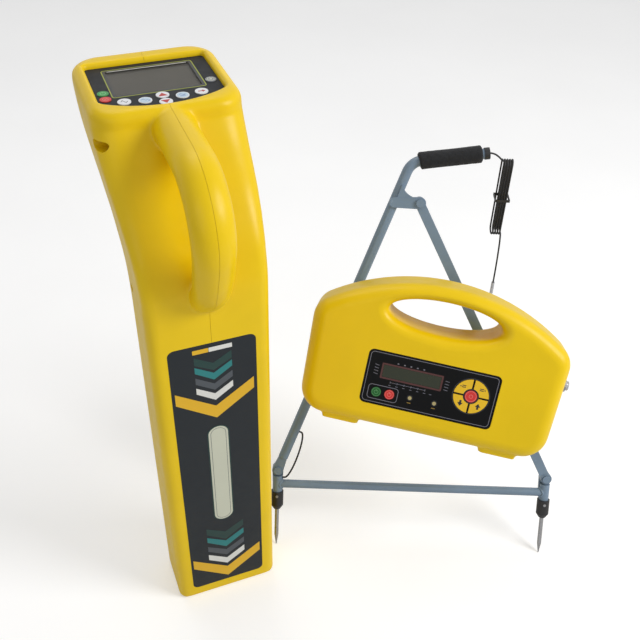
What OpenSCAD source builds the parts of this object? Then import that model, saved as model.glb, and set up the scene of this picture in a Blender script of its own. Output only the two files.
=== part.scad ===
// Cable locator set: a hand-held receiver with a display head and a hooked handle, a signal
// transmitter in a case with an arched handle, and a two-spike A-frame probe with its lead.
// Millimetres. The floor is z = 0 and the origin is the middle of the receiver's base.
// The receiver's label and handle face -Y, and +X is to the right of someone facing them.

/* [Receiver blade] */
// Width of the blade across its label
blade_w = 138; // [120:1:150]
// Depth of the blade, front to back
blade_d = 80; // [70:1:95]
// Radius of the blade's upright corners
blade_corner = 12; // [8:1:18]
// Height at which the blade ends and the neck starts
blade_h = 490; // [470:5:520]
// Wall of every moulded shell
wall = 3; // [2.6:0.1:3.6]

/* [Receiver head] */
// Width of the head
head_w = 160; // [152:1:175]
// Depth of the head, front to back
head_d = 154; // [150:1:170]
// How far the head's front stands behind the blade's front
head_back = 98; // [85:1:110]
// Rise of the neck from the blade to the head's lower edge
neck_h = 182; // [174:1:190]
// Height of the head from its lower edge to its rim
head_h = 18; // [16:1:24]
// Radius of the head's upright corners
head_corner = 30; // [22:1:36]

/* [Receiver handle] */
// Width of the handle, left to right
handle_w = 48; // [40:1:52]
// Thickness of the handle along its curve
handle_t = 38; // [32:1:40]
// Radius of the handle's bend, on its centre line
handle_bend_r = 58; // [50:1:66]
// How far the handle turns from level towards the blade
handle_bend_deg = 109; // [104:1:114]
// How far the straight top of the handle runs in front of the head's front
handle_run = 78; // [70:1:90]

/* [Receiver panel] */
// Width of the display panel
panel_w = 132; // [128:1:136]
// Depth of the display panel at its sides
panel_d = 94; // [90:1:98]
// How far the panel's front edge bulges past its sides
panel_bulge = 20; // [18:1:24]
// Thickness of every panel plate
panel_t = 2.4; // [2:0.1:3]
// How far the panel lies below the rim of the head
panel_sink = 6; // [4:0.5:9]
// Rim left behind the panel
panel_margin = 26; // [22:1:30]
// Width of the receiver's window
window_w = 97; // [88:1:98]
// Depth of the receiver's window
window_d = 66; // [58:1:67]
// Diameter of a large key
key_d = 14; // [12:0.2:14.4]
// Diameter of a small key
small_key_d = 12; // [10:0.2:12.4]
// How far a key stands above its panel
key_rise = 0.8; // [0.6:0.1:1.5]
// How far a key goes down
key_travel = 0.5; // [0.3:0.1:0.7]
// Distance from a panel's underside to its circuit board
board_gap = 10; // [8:0.5:12]

/* [Receiver label] */
// Width of the label on the blade
label_w = 100; // [80:1:108]
// Height of the label
label_h = 440; // [400:5:450]
// Height of the label's lower edge above the floor
label_z = 19; // [14:1:26]
// Thickness of the label
label_t = 0.8; // [0.5:0.1:1.2]

/* [Transmitter] */
// Width of the case
case_w = 338; // [330:2:350]
// Height of the case from its feet to the top of its handle
case_h = 208; // [204:1:216]
// Depth of the case, front to back
case_d = 80; // [76:1:90]
// Radius of the handle's arch
arch_r = 279; // [268:1:290]
// Rounding of the case's front and back edges
case_edge = 18; // [14:1:20]
// Height of the moulded feet
foot_h = 6; // [4:0.5:8]
// Height of the panel's middle above the feet
face_z = 74; // [70:1:78]
// Width of the transmitter's panel
face_w = 174; // [170:1:180]
// Height of the transmitter's panel
face_h = 74; // [72:1:78]
// Diameter of the on and off keys
round_key_d = 13; // [11:0.2:13.4]
// Outer diameter of the pad of arrow keys
pad_d = 45.5; // [43:0.5:47]
// Diameter of the key in the middle of the pad
pad_mid_d = 16; // [13:0.2:16.4]
// Diameter of the output socket
socket_d = 12; // [9:0.5:14]

/* [A-frame] */
// Distance between the two spikes
spike_gap = 390; // [360:5:420]
// Diameter of the tubes
tube_d = 14; // [12:0.5:16]
// Wall of the tubes
tube_wall = 1.5; // [1:0.1:2]
// Diameter of the base bar
bar_d = 12; // [10:0.5:13]
// Height of the base bar along the frame
bar_w = 97; // [94:1:97]
// Height of the pins that join the legs to the feet
foot_pin_w = 119; // [119:1:124]
// Height along the frame where the main tube's leg meets the line of its grip
apex_w = 566; // [556:1:584]
// Distance of that point from the left spike, along the base bar
apex_u = 169; // [162:1:176]
// Rise of the grip towards its free end
grip_rise_deg = 8; // [0:1:15]
// Length of the foam grip
grip_l = 78; // [70:1:84]
// Diameter of the foam grip
grip_d = 24; // [20:0.5:28]
// Distance of the pivot from the left spike, along the base bar
pivot_u = 183; // [178:0.5:188]
// Height of the pivot along the frame
pivot_w = 512; // [506:1:518]
// Diameter of the pivot and the foot pins
pin_d = 6; // [5:0.2:8]
// Diameter of a spike
spike_d = 6; // [5:0.2:8]

/* [Lead] */
// Diameter of the lead
cord_d = 2.4; // [2:0.1:2.6]
// Length of the hank
hank_l = 118; // [100:1:124]
// Turns in the hank, ending with a half turn
hank_turns = 4.5; // [3.5:1:5.5]
// Distance from one turn of the hank to the next
hank_pitch = 3.4; // [3.2:0.1:4]

/* [Placing] */
// Place of the left spike's tip, to the right of the receiver's middle
foot_x = 86; // [86:1:120]
// Place of the left spike's tip, behind the receiver's middle
foot_y = 4; // [0:1:20]
// Turn of the A-frame about the vertical
frame_yaw = 22.6; // [0:0.2:30]
// Lean of the A-frame away from the user
frame_lean = 26; // [20:0.5:28]
// Tilt of the transmitter where it leans on the frame
case_tilt = 9.5; // [4:0.5:12]
// Turn of the transmitter out of the plane of the frame
case_turn = 6; // [0:0.5:8]
// Place of the transmitter's panel from the left spike, along the base bar
case_u = 208; // [200:1:216]
// Height of the transmitter's panel along the frame
case_w_place = 282; // [276:1:290]

/* [Hidden] */
$fn = 48;
// One overrun serves every cut
over = 1;
// Clearance of a piece that lies in a pocket, on each side
fit = 0.2;
// Running clearance of a key or a pin, on the radius
run = 0.06;
// Steps in each rounded corner of a moulded section
corner_steps = 6;

// Receiver: heights and depths
blade_front = -blade_d / 2;
blade_rear = blade_d / 2;
base_round = 3;
head_z = blade_h + neck_h;
rim_z = head_z + head_h;
rim_round = 9;
rim_mid_share = 0.3;
head_front = blade_front + head_back;
head_rear = head_front + head_d;
// The neck's sections, from the blade to the head: height, front, rear and width
neck_shares = [[0.187, 0, 0.05, 0], [0.39, 0.09, 0.27, 0.12], [0.533, 0.23, 0.51, 0.33],
    [0.67, 0.44, 0.78, 0.58], [0.78, 0.66, 0.91, 0.78], [0.868, 0.82, 0.96, 0.9],
    [0.934, 0.92, 0.985, 0.96]];
// The walls that slope are thickened inside by these shares of the wall
front_slope_share = 1.4;
rear_slope_share = 2.4;
panel_z = rim_z - panel_sink;
panel_low = panel_z - panel_t;
ledge = 1.2;
ledge_t = 2.5;
panel_y1 = head_rear - panel_margin;
panel_y0 = panel_y1 - panel_d;
panel_front = panel_y0 - panel_bulge;
panel_back_r = 4;
panel_front_r = 12;
window_t = 1.6;
window_gap = 10;
window_y = panel_y1 - window_gap - window_d / 2;
lcd_rim = 1.5;
board_t = 1.6;
board_low = panel_low - board_gap - board_t;
board_inset = 3.4;
post_d = 5;
post_inset = 10;
post_step = 10.5;
post_front = 12;
flange = 0.5;
flange_t = 1.2;
stem_d = 4;
// Places of the receiver's keys from the middle of the panel's rear edge
side_key_x = 57.5;
side_key_y1 = panel_y1 - 65;
side_key_y2 = side_key_y1 - small_key_d - 2;
outer_key_x = 40.5;
outer_key_y = panel_y1 - 90;
inner_key_x = 19.5;
inner_key_y = panel_y1 - 93;
mid_key_y1 = panel_y1 - 86;
mid_key_y2 = mid_key_y1 - key_d - 2;
label_corner = 8;
screw_d = 4;
screw_head_d = 8;
screw_head_t = 3;
screw_bore_d = 10;
screw_seat = 16;
screw_reach = 18;
boss_d = 14;
// Places of the shell screws: depth and height
shell_screws = [[head_front + boss_d, board_low - boss_d], [blade_rear - 22, blade_h + 20],
    [head_rear - boss_d - 14, board_low - boss_d - 8]];
rod_d = 10;
coil_d = 16;
coil_share = 0.5;
cup_d = 15;
cup_l = 8;
rod_gap = 0.15;
rod_z = 70;
rod_top_z = blade_h - 60;
cell_w = 96;
cell_d = 50;
cell_h = 170;
cell_z = 130;
shelf_t = 3;
shelf_w = 40;

// Handle: the centre line runs level, bends and comes back to the blade
handle_drop = 2;
handle_z = rim_z - handle_drop - handle_t / 2;
handle_root = 24;
head_root = 2;
handle_bend_y = head_front - handle_run;
handle_end_y = handle_bend_y - handle_bend_r * sin(handle_bend_deg);
handle_end_z = handle_z - handle_bend_r * (1 - cos(handle_bend_deg));
handle_dir = [sin(handle_bend_deg - 90), -cos(handle_bend_deg - 90)];
handle_leg = (blade_front - handle_end_y) / handle_dir[0] + handle_root;
handle_rings = 12;
handle_sides = 20;

// Transmitter: its own frame has x to the right, y to the rear and z up from the feet
case_low_w = case_w - 6;
case_low_r = 34;
case_top_r = 30;
shoulder_x = case_w / 2 - case_top_r;
arch_z = case_h - arch_r;
shoulder_deg = asin(shoulder_x / (arch_r - case_top_r));
shoulder_z = arch_z + (arch_r - case_top_r) * cos(shoulder_deg);
arch_steps = 10;
edge_steps = 5;
slot_half = 74;
slot_rise = 22;
slot_z = case_h - 20 - slot_rise;
slot_sides = 44;
mouth_r = 8;
mouth_steps = 4;
lean_u = 58;
foot_x0 = 82;
foot_w = 49;
foot_d_share = 0.7;
face_sink = 1;
face_y = -case_d / 2 + face_sink;
face_r = 7;
face_back = face_y + panel_t;
face_frame = 4;
glass_w = 76;
glass_h = 16.4;
glass_x = -26.5;
glass_z = 10.6;
on_key_x = -67.2;
off_key_x = -49.7;
round_key_z = -19.6;
led_d = 5;
led_x = [-22.7, 9.6];
led_z = -18;
led_l = 8;
pad_x = 53.3;
pad_z = 2.5;
pad_deg = 45;
pad_hole_d = 20.6;
pad_gap = 2.6;
socket_z = face_z + 37;
socket_y = -12;
socket_out = 3;
socket_floor = 2;
socket_l = 14;
socket_hole_d = 4.4;
tx_cell_w = 150;
tx_cell_d = 46;
tx_cell_h = 38;
tx_screw_x = case_w / 2 - 26;
tx_screw_z = [foot_h + 38, face_z + 44];
tx_screw_seat = 14;
tx_screw_reach = 14;

// A-frame: its own frame has x along the base bar, y to the rear and z up the frame
leg_lean = atan2(apex_u, apex_w - foot_pin_w);
apex_turn = 90 - leg_lean - grip_rise_deg;
apex_r = 24;
apex_steps = 8;
tube_sides = 24;
apex_cut = apex_r * tan(apex_turn / 2);
leg_l = norm([apex_u, apex_w - foot_pin_w]) - apex_cut;
grip_gap = 2;
grip_free = 3;
grip_run = grip_gap + grip_l + grip_free;
grip_dir = [cos(grip_rise_deg), 0, sin(grip_rise_deg)];
eye_d = 16;
brace_t = 8;
brace_w = 13;
brace_step = 0.6;
lap = 0.3;
tab_t = 5;
tab_drop = 3;
pin_head_d = 11;
pin_head_t = 3;
tee_low = bar_w - 22;
tee_top = bar_w + 13;
holder_d = 18;
holder_l = 28;
holder_taper = 6;
holder_end_d = 10;
holder_over = 11;
holder_z = tee_low + holder_over - fit - holder_l;
spike_in = 13;
spike_point = 16;
spike_tip_d = 1;
set_screw_d = 4;
set_screw_l = 2.4;
set_screw_drop = 6;
brace_l = norm([spike_gap - pivot_u, pivot_w - foot_pin_w]);
brace_dir = atan2(foot_pin_w - pivot_w, spike_gap - pivot_u);
gland_d = 16;
gland_l = 7;
gland_plug = 8;
cord_in = 4;

// Lead: a free cord; it hangs plumb, so its places are upright ones beside the leaning frame
cord_sides = 6;
loop_rings = 24;
hank_u = 294;
hank_y = 266;
hank_w = 447;
hank_r = 3 * cord_d;
bend_rings = 5;
run_rings = 2;
bezier_steps = 10;
tie_t = 1.2;
tie_h = 4;
plug_d = 5;
plug_l = 20;
plug_pin_d = 4;
plug_pin_l = 12;
plug_top = [311, 260, 304];
top_step = 12;
low_step = [0, 9, 4];
tail_drop = 26;
wire_d = 2.6;
wire_sides = 8;
wire_steps = 8;
wire_s = 66;
foot_tongue = 1.3 * eye_d;
tongue_w = 10;
tongue_in = 8;
wire_stub = 3;
wire_out = 9;
wire_drop = 3.2;
wire_bow = 10;
wire_in = 3;

// Shapes that several pieces share
function corner_arc(cx, cy, r, a0) = [for (i = [0:corner_steps])
    let (a = a0 + i * 90 / corner_steps) [cx + r * cos(a), cy + r * sin(a)]];

function round_box(hw, y0, y1, r) = concat(
    corner_arc(hw - r, y1 - r, r, 0), corner_arc(r - hw, y1 - r, r, 90),
    corner_arc(r - hw, y0 + r, r, 180), corner_arc(hw - r, y0 + r, r, 270));

function level(hw, y0, y1, r, z) = [for (p = round_box(hw, y0, y1, r)) [p[0], p[1], z]];

function blend(a, b, t) = a + (b - a) * t;

// A closed skin over a stack of rings with equal counts of points
module skin(rings) {
    n = len(rings[0]);
    m = len(rings);
    sides = [for (j = [0:m - 2]) for (i = [0:n - 1])
        let (a = j * n + i, b = j * n + (i + 1) % n, c = b + n, d = a + n)
        each [[a, d, c], [a, c, b]]];
    low = [for (i = [0:n - 1]) i];
    high = [for (i = [n - 1:-1:0]) (m - 1) * n + i];
    polyhedron(points = [for (r = rings) each r], faces = concat([low, high], sides));
}

// Rings of a round tube about a path of points
function tube_ring(p, dir, side, r, n) = let (s = side - dir * (side * dir), u = s / norm(s),
    v = cross(dir, u)) [for (i = [0:n - 1]) let (a = i * 360 / n) p + r * (u * cos(a) + v * sin(a))];

function unit(v) = v / norm(v);

function path_dir(path, i) = unit(path[min(i + 1, len(path) - 1)] - path[max(i - 1, 0)]);

function tube_rings(path, r, n, side) = [for (i = [0:len(path) - 1])
    tube_ring(path[i], path_dir(path, i), side, r, n)];

function bezier(p, t) = p[0] * pow(1 - t, 3) + p[1] * 3 * t * pow(1 - t, 2)
    + p[2] * 3 * t * t * (1 - t) + p[3] * pow(t, 3);

module along_x() {
    rotate([0, 90, 0]) children();
}

module along_y() {
    rotate([-90, 0, 0]) children();
}

// Receiver
function body_levels(e) = concat(
    [level(blade_w / 2 - base_round - e, blade_front + base_round + e, blade_rear - base_round - e,
        blade_corner - base_round, e),
    level(blade_w / 2 - e, blade_front + e, blade_rear - e, blade_corner, base_round + e),
    level(blade_w / 2 - e, blade_front + e, blade_rear - e, blade_corner, blade_h)],
    [for (s = neck_shares) level(blend(blade_w, head_w, s[3]) / 2 - e,
        blend(blade_front, head_front, s[1]) + e * front_slope_share,
        blend(blade_rear, head_rear, s[2]) - e * rear_slope_share,
        blend(blade_corner, head_corner, s[3]), blend(blade_h, head_z, s[0]))]);

function head_levels() = [
    level(head_w / 2, head_front, head_rear, head_corner, head_z),
    level(head_w / 2, head_front, head_rear, head_corner, rim_z - rim_round),
    level(head_w / 2 - rim_round * rim_mid_share, head_front + rim_round * rim_mid_share,
        head_rear - rim_round * rim_mid_share, head_corner, rim_z - rim_round * rim_mid_share),
    level(head_w / 2 - rim_round, head_front + rim_round, head_rear - rim_round,
        head_corner, rim_z)];

function room_levels() = [
    level(head_w / 2 - wall, head_front + wall, head_rear - wall, head_corner, head_z),
    level(head_w / 2 - wall, head_front + wall, head_rear - wall, head_corner,
        panel_low - ledge_t)];

function handle_path() = concat(
    [[head_front + head_root, handle_z]],
    [for (i = [0:handle_rings]) let (a = 90 + handle_bend_deg * i / handle_rings)
        [handle_bend_y + handle_bend_r * cos(a), handle_z - handle_bend_r + handle_bend_r * sin(a)]],
    [[handle_end_y, handle_end_z] + handle_dir * handle_leg]);

module handle(e) {
    path = [for (p = handle_path()) [0, p[0], p[1]]];
    skin([for (i = [0:len(path) - 1]) let (d = path_dir(path, i), n = cross(d, [1, 0, 0]))
        [for (k = [0:handle_sides - 1]) let (a = k * 360 / handle_sides)
            path[i] + [1, 0, 0] * (handle_w / 2 - e) * cos(a) + n * (handle_t / 2 - e) * sin(a)]]);
}

module panel_outline(grow) {
    r = (pow(panel_w / 2, 2) + pow(panel_bulge, 2)) / (2 * panel_bulge);
    half = asin((panel_w / 2 - panel_front_r) / r);
    hull() {
        for (s = [-1, 1]) {
            translate([s * (panel_w / 2 - panel_back_r), panel_y1 - panel_back_r])
                circle(panel_back_r + grow);
            translate([s * (panel_w / 2 - panel_front_r), panel_y0 + panel_front_r - panel_bulge / 4])
                circle(panel_front_r + grow);
        }
        polygon([for (i = [-arch_steps:arch_steps]) let (a = half * i / arch_steps)
            [(r + grow) * sin(a), panel_front + r - (r + grow) * cos(a)]]);
    }
}

module label_outline(grow) {
    hull()
        for (s = [-1, 1], t = [0, 1])
            translate([s * (label_w / 2 - label_corner),
                label_z + label_corner + t * (label_h - 2 * label_corner)])
                circle(label_corner + grow);
}

module receiver_housing() {
    difference() {
        union() {
            skin(concat(body_levels(0), head_levels()));
            handle(0);
        }
        skin(concat([for (l = body_levels(wall)) l], room_levels()));
        handle(wall);
        translate([0, 0, panel_low])
            linear_extrude(panel_sink + panel_t + over) panel_outline(fit);
        translate([0, 0, panel_low - ledge_t - over])
            linear_extrude(ledge_t + 2 * over) panel_outline(-ledge);
        translate([0, blade_front + label_t, 0]) rotate([90, 0, 0])
            linear_extrude(label_t + over) label_outline(fit);
    }
}

// Bosses, cups and shelf on the inside of one shell; side is -1 on the left and 1 on the right
module shell_inside(side) {
    for (z = [rod_z, rod_top_z])
        translate([side * (blade_w / 2 - wall / 2), 0, z]) rotate([0, -side * 90, 0])
            cylinder(d = cup_d, h = cup_l + wall / 2);
    for (y = [-1, 1])
        translate([side * (blade_w / 2 - wall / 2 - shelf_w / 2), y * (blade_d / 2 - wall - shelf_w / 4),
            cell_z - shelf_t / 2 - fit])
            cube([shelf_w, shelf_w / 2 + wall, shelf_t], center = true);
    for (s = shell_screws)
        translate([0, s[0], s[1]]) rotate([0, side * 90, 0])
            cylinder(d = boss_d, h = head_w / 2);
}

module shell_cuts() {
    for (z = [rod_z, rod_top_z])
        translate([0, 0, z]) along_x()
            cylinder(r = rod_d / 2 + rod_gap, h = blade_w - 2 * wall, center = true);
    for (s = shell_screws) {
        translate([-screw_seat, s[0], s[1]]) rotate([0, -90, 0]) cylinder(d = screw_bore_d, h = head_w);
        translate([-screw_seat - over, s[0], s[1]]) along_x()
            cylinder(r = screw_d / 2 + run, h = screw_seat + screw_reach + 2 * over);
    }
}

module receiver_shell(side) {
    difference() {
        union() {
            intersection() {
                receiver_housing();
                translate([side * head_w / 2, 0, rim_z / 2])
                    cube([head_w, 2 * (head_rear + rim_z), 2 * rim_z], center = true);
            }
            intersection() {
                shell_inside(side);
                skin(concat(body_levels(wall / 2), [room_levels()[0]]));
            }
        }
        shell_cuts();
    }
}

module receiver_left_shell() {
    color([0.93, 0.79, 0.1]) receiver_shell(-1);
}

module receiver_right_shell() {
    color([0.93, 0.79, 0.1]) receiver_shell(1);
}

module receiver_panel() {
    color([0.12, 0.14, 0.16]) difference() {
        union() {
            translate([0, 0, panel_low]) linear_extrude(panel_t) panel_outline(0);
            for (x = [-1, 1], p = [[outer_key_x - post_step, panel_front + post_front],
                [panel_w / 2 - post_inset, panel_y1 - post_inset]])
                translate([x * p[0], p[1], board_low + board_t])
                    cylinder(d = post_d, h = board_gap + panel_t / 2);
        }
        for (k = receiver_keys())
            translate([k[0], k[1], panel_low - over])
                cylinder(r = k[2] / 2 + run, h = panel_t + 2 * over);
        translate([-window_w / 2 - fit, window_y - window_d / 2 - fit, panel_low - over])
            cube([window_w + 2 * fit, window_d + 2 * fit, panel_t + 2 * over]);
    }
}

// Each key: x, y and diameter
function receiver_keys() = [
    [-side_key_x, side_key_y1, small_key_d], [-side_key_x, side_key_y2, small_key_d],
    [-outer_key_x, outer_key_y, key_d], [-inner_key_x, inner_key_y, key_d],
    [0, mid_key_y1, key_d], [0, mid_key_y2, key_d], [inner_key_x, inner_key_y, key_d],
    [outer_key_x, outer_key_y, key_d], [side_key_x, side_key_y1, small_key_d]];

module receiver_window() {
    color([0.55, 0.58, 0.5, 0.5])
        translate([-window_w / 2, window_y - window_d / 2, panel_z - window_t])
        cube([window_w, window_d, window_t]);
}

module receiver_lcd() {
    module_w = window_w + 2 * lcd_rim;
    module_d = window_d + 2 * lcd_rim;
    color([0.45, 0.46, 0.4]) {
        translate([-module_w / 2, window_y - module_d / 2, board_low + board_t + fit])
            cube([module_w, module_d, board_gap - 2 * fit]);
        translate([-window_w / 2, window_y - window_d / 2, panel_low - 2 * fit])
            cube([window_w, window_d, panel_t - window_t + fit]);
    }
}

module receiver_board() {
    color([0.1, 0.35, 0.2]) translate([0, 0, board_low])
        linear_extrude(board_t) panel_outline(-board_inset);
}

module receiver_label() {
    color([0.09, 0.13, 0.17]) translate([0, blade_front + label_t, 0]) rotate([90, 0, 0])
        linear_extrude(label_t) label_outline(0);
}

module receiver_screws() {
    color([0.6, 0.6, 0.62])
        for (s = shell_screws)
            translate([-screw_seat, s[0], s[1]]) along_x() {
                cylinder(d = screw_d, h = screw_seat + screw_reach);
                translate([0, 0, -screw_head_t]) cylinder(d = screw_head_d, h = screw_head_t);
            }
}

module receiver_battery() {
    color([0.2, 0.2, 0.22]) translate([-cell_w / 2, -cell_d / 2, cell_z])
        cube([cell_w, cell_d, cell_h]);
}

module antenna(z) {
    color([0.3, 0.28, 0.27]) translate([0, 0, z]) along_x() {
        cylinder(d = rod_d, h = blade_w - 2 * wall - 2 * fit, center = true);
        cylinder(d = coil_d, h = (blade_w - 2 * wall) * coil_share, center = true);
    }
}

module antenna_lower() {
    antenna(rod_z);
}

module antenna_upper() {
    antenna(rod_top_z);
}

// A round key along z, with its panel's underside at zero
module key_solid(d) {
    translate([0, 0, -flange_t - run]) {
        cylinder(d = d, h = flange_t + run + panel_t + key_rise);
        cylinder(d = d + 2 * flange, h = flange_t);
    }
    translate([0, 0, key_travel + fit - board_gap])
        cylinder(d = stem_d, h = board_gap - key_travel - fit - flange_t / 2);
}

module receiver_key(i, tint) {
    k = receiver_keys()[i];
    color(tint) translate([k[0], k[1], panel_low]) key_solid(k[2]);
}

module key_on() {
    receiver_key(0, [0.2, 0.6, 0.25]);
}

module key_off() {
    receiver_key(1, [0.75, 0.25, 0.2]);
}

module key_function() {
    receiver_key(2, [0.9, 0.9, 0.92]);
}

module key_mode_left() {
    receiver_key(3, [0.85, 0.9, 0.95]);
}

module key_up() {
    receiver_key(4, [0.95, 0.9, 0.9]);
}

module key_down() {
    receiver_key(5, [0.95, 0.9, 0.9]);
}

module key_mode_right() {
    receiver_key(6, [0.85, 0.9, 0.95]);
}

module key_direction() {
    receiver_key(7, [0.9, 0.88, 0.88]);
}

module key_light() {
    receiver_key(8, [0.75, 0.75, 0.78]);
}

// A-frame: everything that follows is drawn in its own frame and placed by this module
module on_frame() {
    translate([foot_x, foot_y, 0]) rotate([0, 0, -frame_yaw]) rotate([-frame_lean, 0, 0]) children();
}

// The transmitter leans on the front of the main tube
module on_case() {
    on_frame()
        translate([case_u, -tube_d / 2 - lap - (case_u - lean_u) * tan(case_turn), case_w_place])
        rotate([0, 0, -case_turn]) translate([0, -case_d / 2, 0]) rotate([0, case_tilt, 0])
        translate([0, 0, -face_z]) children();
}

// Transmitter
// An arc of the case's outline about a centre, from one angle to another
function case_arc(cx, cz, r, a0, a1) = [for (i = [0:corner_steps])
    let (a = blend(a0, a1, i / corner_steps)) [cx + r * cos(a), cz + r * sin(a)]];

// The case's outline, grown on every side, from its lower right corner round to its lower left one
function case_points(grow) = let (
    low = case_low_w / 2 - case_low_r, up = 90 - shoulder_deg,
    arch = [for (i = [1 - arch_steps:arch_steps - 1]) let (a = -shoulder_deg * i / arch_steps)
        [(arch_r + grow) * sin(a), arch_z + (arch_r + grow) * cos(a)]])
    concat(case_arc(low, foot_h + case_low_r, case_low_r + grow, -90, 0),
        case_arc(shoulder_x, shoulder_z, case_top_r + grow, 0, up), arch,
        case_arc(-shoulder_x, shoulder_z, case_top_r + grow, 180 - up, 180),
        case_arc(-low, foot_h + case_low_r, case_low_r + grow, 180, 270));

function case_ring(y, grow) = [for (p = case_points(grow)) [p[0], y, p[1]]];

function slot_ring(y, grow) = [for (i = [0:slot_sides - 1]) let (a = i * 360 / slot_sides)
    [(slot_half + grow) * sin(a), y, slot_z + (slot_rise + grow) * cos(a)]];

// The handle's slot through the case, with a flared mouth at each end
module slot_cut(grow) {
    mouth = [for (i = [0:mouth_steps]) let (a = 90 * i / mouth_steps)
        [case_d / 2 - mouth_r * (1 - cos(a)), mouth_r * (1 - sin(a))]];
    front = concat([[case_d / 2 + over, mouth_r]], mouth);
    skin(concat([for (m = front) slot_ring(-m[0], m[1] + grow)],
        [for (i = [len(front) - 1:-1:0]) slot_ring(front[i][0], front[i][1] + grow)]));
}

module case_feet() {
    for (s = [-1, 1])
        translate([s * (foot_x0 + foot_w / 2), 0, foot_h])
            cube([foot_w, case_d * foot_d_share, 2 * foot_h], center = true);
}

module case_solid() {
    edge = [for (i = [0:edge_steps]) let (a = 90 * i / edge_steps)
        [case_d / 2 - case_edge * (1 - cos(a)), -case_edge * (1 - sin(a))]];
    difference() {
        union() {
            skin(concat([for (e = edge) case_ring(e[0], e[1])],
                [for (i = [edge_steps:-1:0]) case_ring(-edge[i][0], edge[i][1])]));
            case_feet();
        }
        slot_cut(0);
    }
}

// The room inside the case, round the handle's slot
module case_room() {
    deep = case_d - 2 * case_edge;
    difference() {
        union() {
            translate([0, deep / 2, 0]) rotate([90, 0, 0])
                linear_extrude(deep) polygon(case_points(-wall));
            translate([0, case_d / 2 - wall, 0]) rotate([90, 0, 0])
                linear_extrude(case_d - 2 * wall) polygon(case_points(-case_edge));
        }
        slot_cut(wall);
        translate([0, -case_d / 2, face_z])
            cube([face_w + 2 * face_frame, 2 * (face_sink + panel_t + ledge_t), face_h + 2 * face_frame],
                center = true);
        for (x = [-1, 1], z = tx_screw_z)
            translate([x * tx_screw_x, 0, z]) along_y() cylinder(d = boss_d, h = case_d, center = true);
    }
}

module face_outline(grow) {
    translate([0, face_z])
        hull()
            for (x = [-1, 1], z = [-1, 1])
                translate([x * (face_w / 2 - face_r), z * (face_h / 2 - face_r)]) circle(face_r + grow);
}

// Stands a drawing of the panel upright with its back at depth y
module on_face(y, t) {
    translate([0, y, 0]) rotate([90, 0, 0]) linear_extrude(t) children();
}

module case_shell(side) {
    difference() {
        intersection() {
            case_solid();
            translate([0, side * case_d / 2, case_h / 2])
                cube([2 * case_w, case_d, 2 * case_h], center = true);
        }
        case_room();
        on_face(face_back, face_sink + panel_t + over) face_outline(fit);
        on_face(face_back + ledge_t + over, ledge_t + 2 * over) face_outline(-ledge);
        translate([case_w / 2 - socket_l, socket_y, socket_z]) along_x()
            cylinder(r = socket_d / 2 + run, h = 2 * socket_l);
        for (x = [-1, 1], z = tx_screw_z)
            translate([x * tx_screw_x, 0, z]) along_y() {
                translate([0, 0, tx_screw_seat]) cylinder(d = screw_bore_d, h = case_d);
                translate([0, 0, -tx_screw_reach - over])
                    cylinder(r = screw_d / 2 + run, h = tx_screw_seat + tx_screw_reach + 2 * over);
            }
    }
}

module transmitter_front_shell() {
    color([0.93, 0.79, 0.1]) on_case() case_shell(-1);
}

module transmitter_rear_shell() {
    color([0.93, 0.79, 0.1]) on_case() case_shell(1);
}

// A quarter of the pad, turned to its place and grown on every side
module pad_quarter(turn, grow) {
    translate([pad_x, face_z + pad_z]) rotate(turn)
        difference() {
            circle(pad_d / 2 + grow);
            circle(pad_hole_d / 2 - grow);
            for (s = [-1, 1])
                rotate(s * 45) translate([-pad_d, s * (grow - pad_gap / 2) - (1 - s) * pad_d])
                    square(2 * pad_d);
            translate([-pad_d, -pad_d]) square([pad_d, 2 * pad_d]);
        }
}

module face_holes(grow) {
    translate([pad_x, face_z + pad_z]) circle(pad_mid_d / 2 + grow);
    for (x = [on_key_x, off_key_x]) translate([x, face_z + round_key_z]) circle(round_key_d / 2 + grow);
    for (x = led_x) translate([x, face_z + led_z]) circle(led_d / 2 + grow);
}

module transmitter_panel() {
    color([0.1, 0.1, 0.11]) on_case() {
        difference() {
            on_face(face_back, panel_t) face_outline(0);
            on_face(face_back + over, panel_t + 2 * over) {
                face_holes(run);
                translate([glass_x, face_z + glass_z]) square([glass_w + 2 * fit, glass_h + 2 * fit],
                    center = true);
                for (i = [0:3]) pad_quarter(pad_deg + i * 90, fit);
            }
        }
        for (x = [-1, 1], z = [-1, 1])
            translate([x * (face_w / 2 - post_inset), face_back - panel_t / 2,
                face_z + z * (face_h / 2 - post_d / 2 - board_inset)])
                along_y() cylinder(d = post_d, h = board_gap + panel_t / 2);
    }
}

module transmitter_window() {
    color([0.55, 0.58, 0.5, 0.5]) on_case()
        translate([glass_x, face_y + window_t / 2, face_z + glass_z])
        cube([glass_w, window_t, glass_h], center = true);
}

module transmitter_lcd() {
    color([0.45, 0.46, 0.4]) on_case() {
        translate([glass_x, face_back + board_gap / 2, face_z + glass_z])
            cube([glass_w + 2 * lcd_rim, board_gap - 2 * fit, glass_h + 2 * lcd_rim], center = true);
        translate([glass_x - glass_w / 2, face_y + window_t + fit, face_z + glass_z - glass_h / 2])
            cube([glass_w, panel_t - window_t + fit, glass_h]);
    }
}

module transmitter_board() {
    color([0.1, 0.35, 0.2]) on_case()
        on_face(face_back + board_gap + board_t, board_t) face_outline(-board_inset);
}

module transmitter_battery() {
    color([0.2, 0.2, 0.22]) on_case()
        translate([-tx_cell_w / 2, case_d / 2 - wall - fit - tx_cell_d,
            foot_h + case_edge + fit])
        cube([tx_cell_w, tx_cell_d, tx_cell_h]);
}

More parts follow.
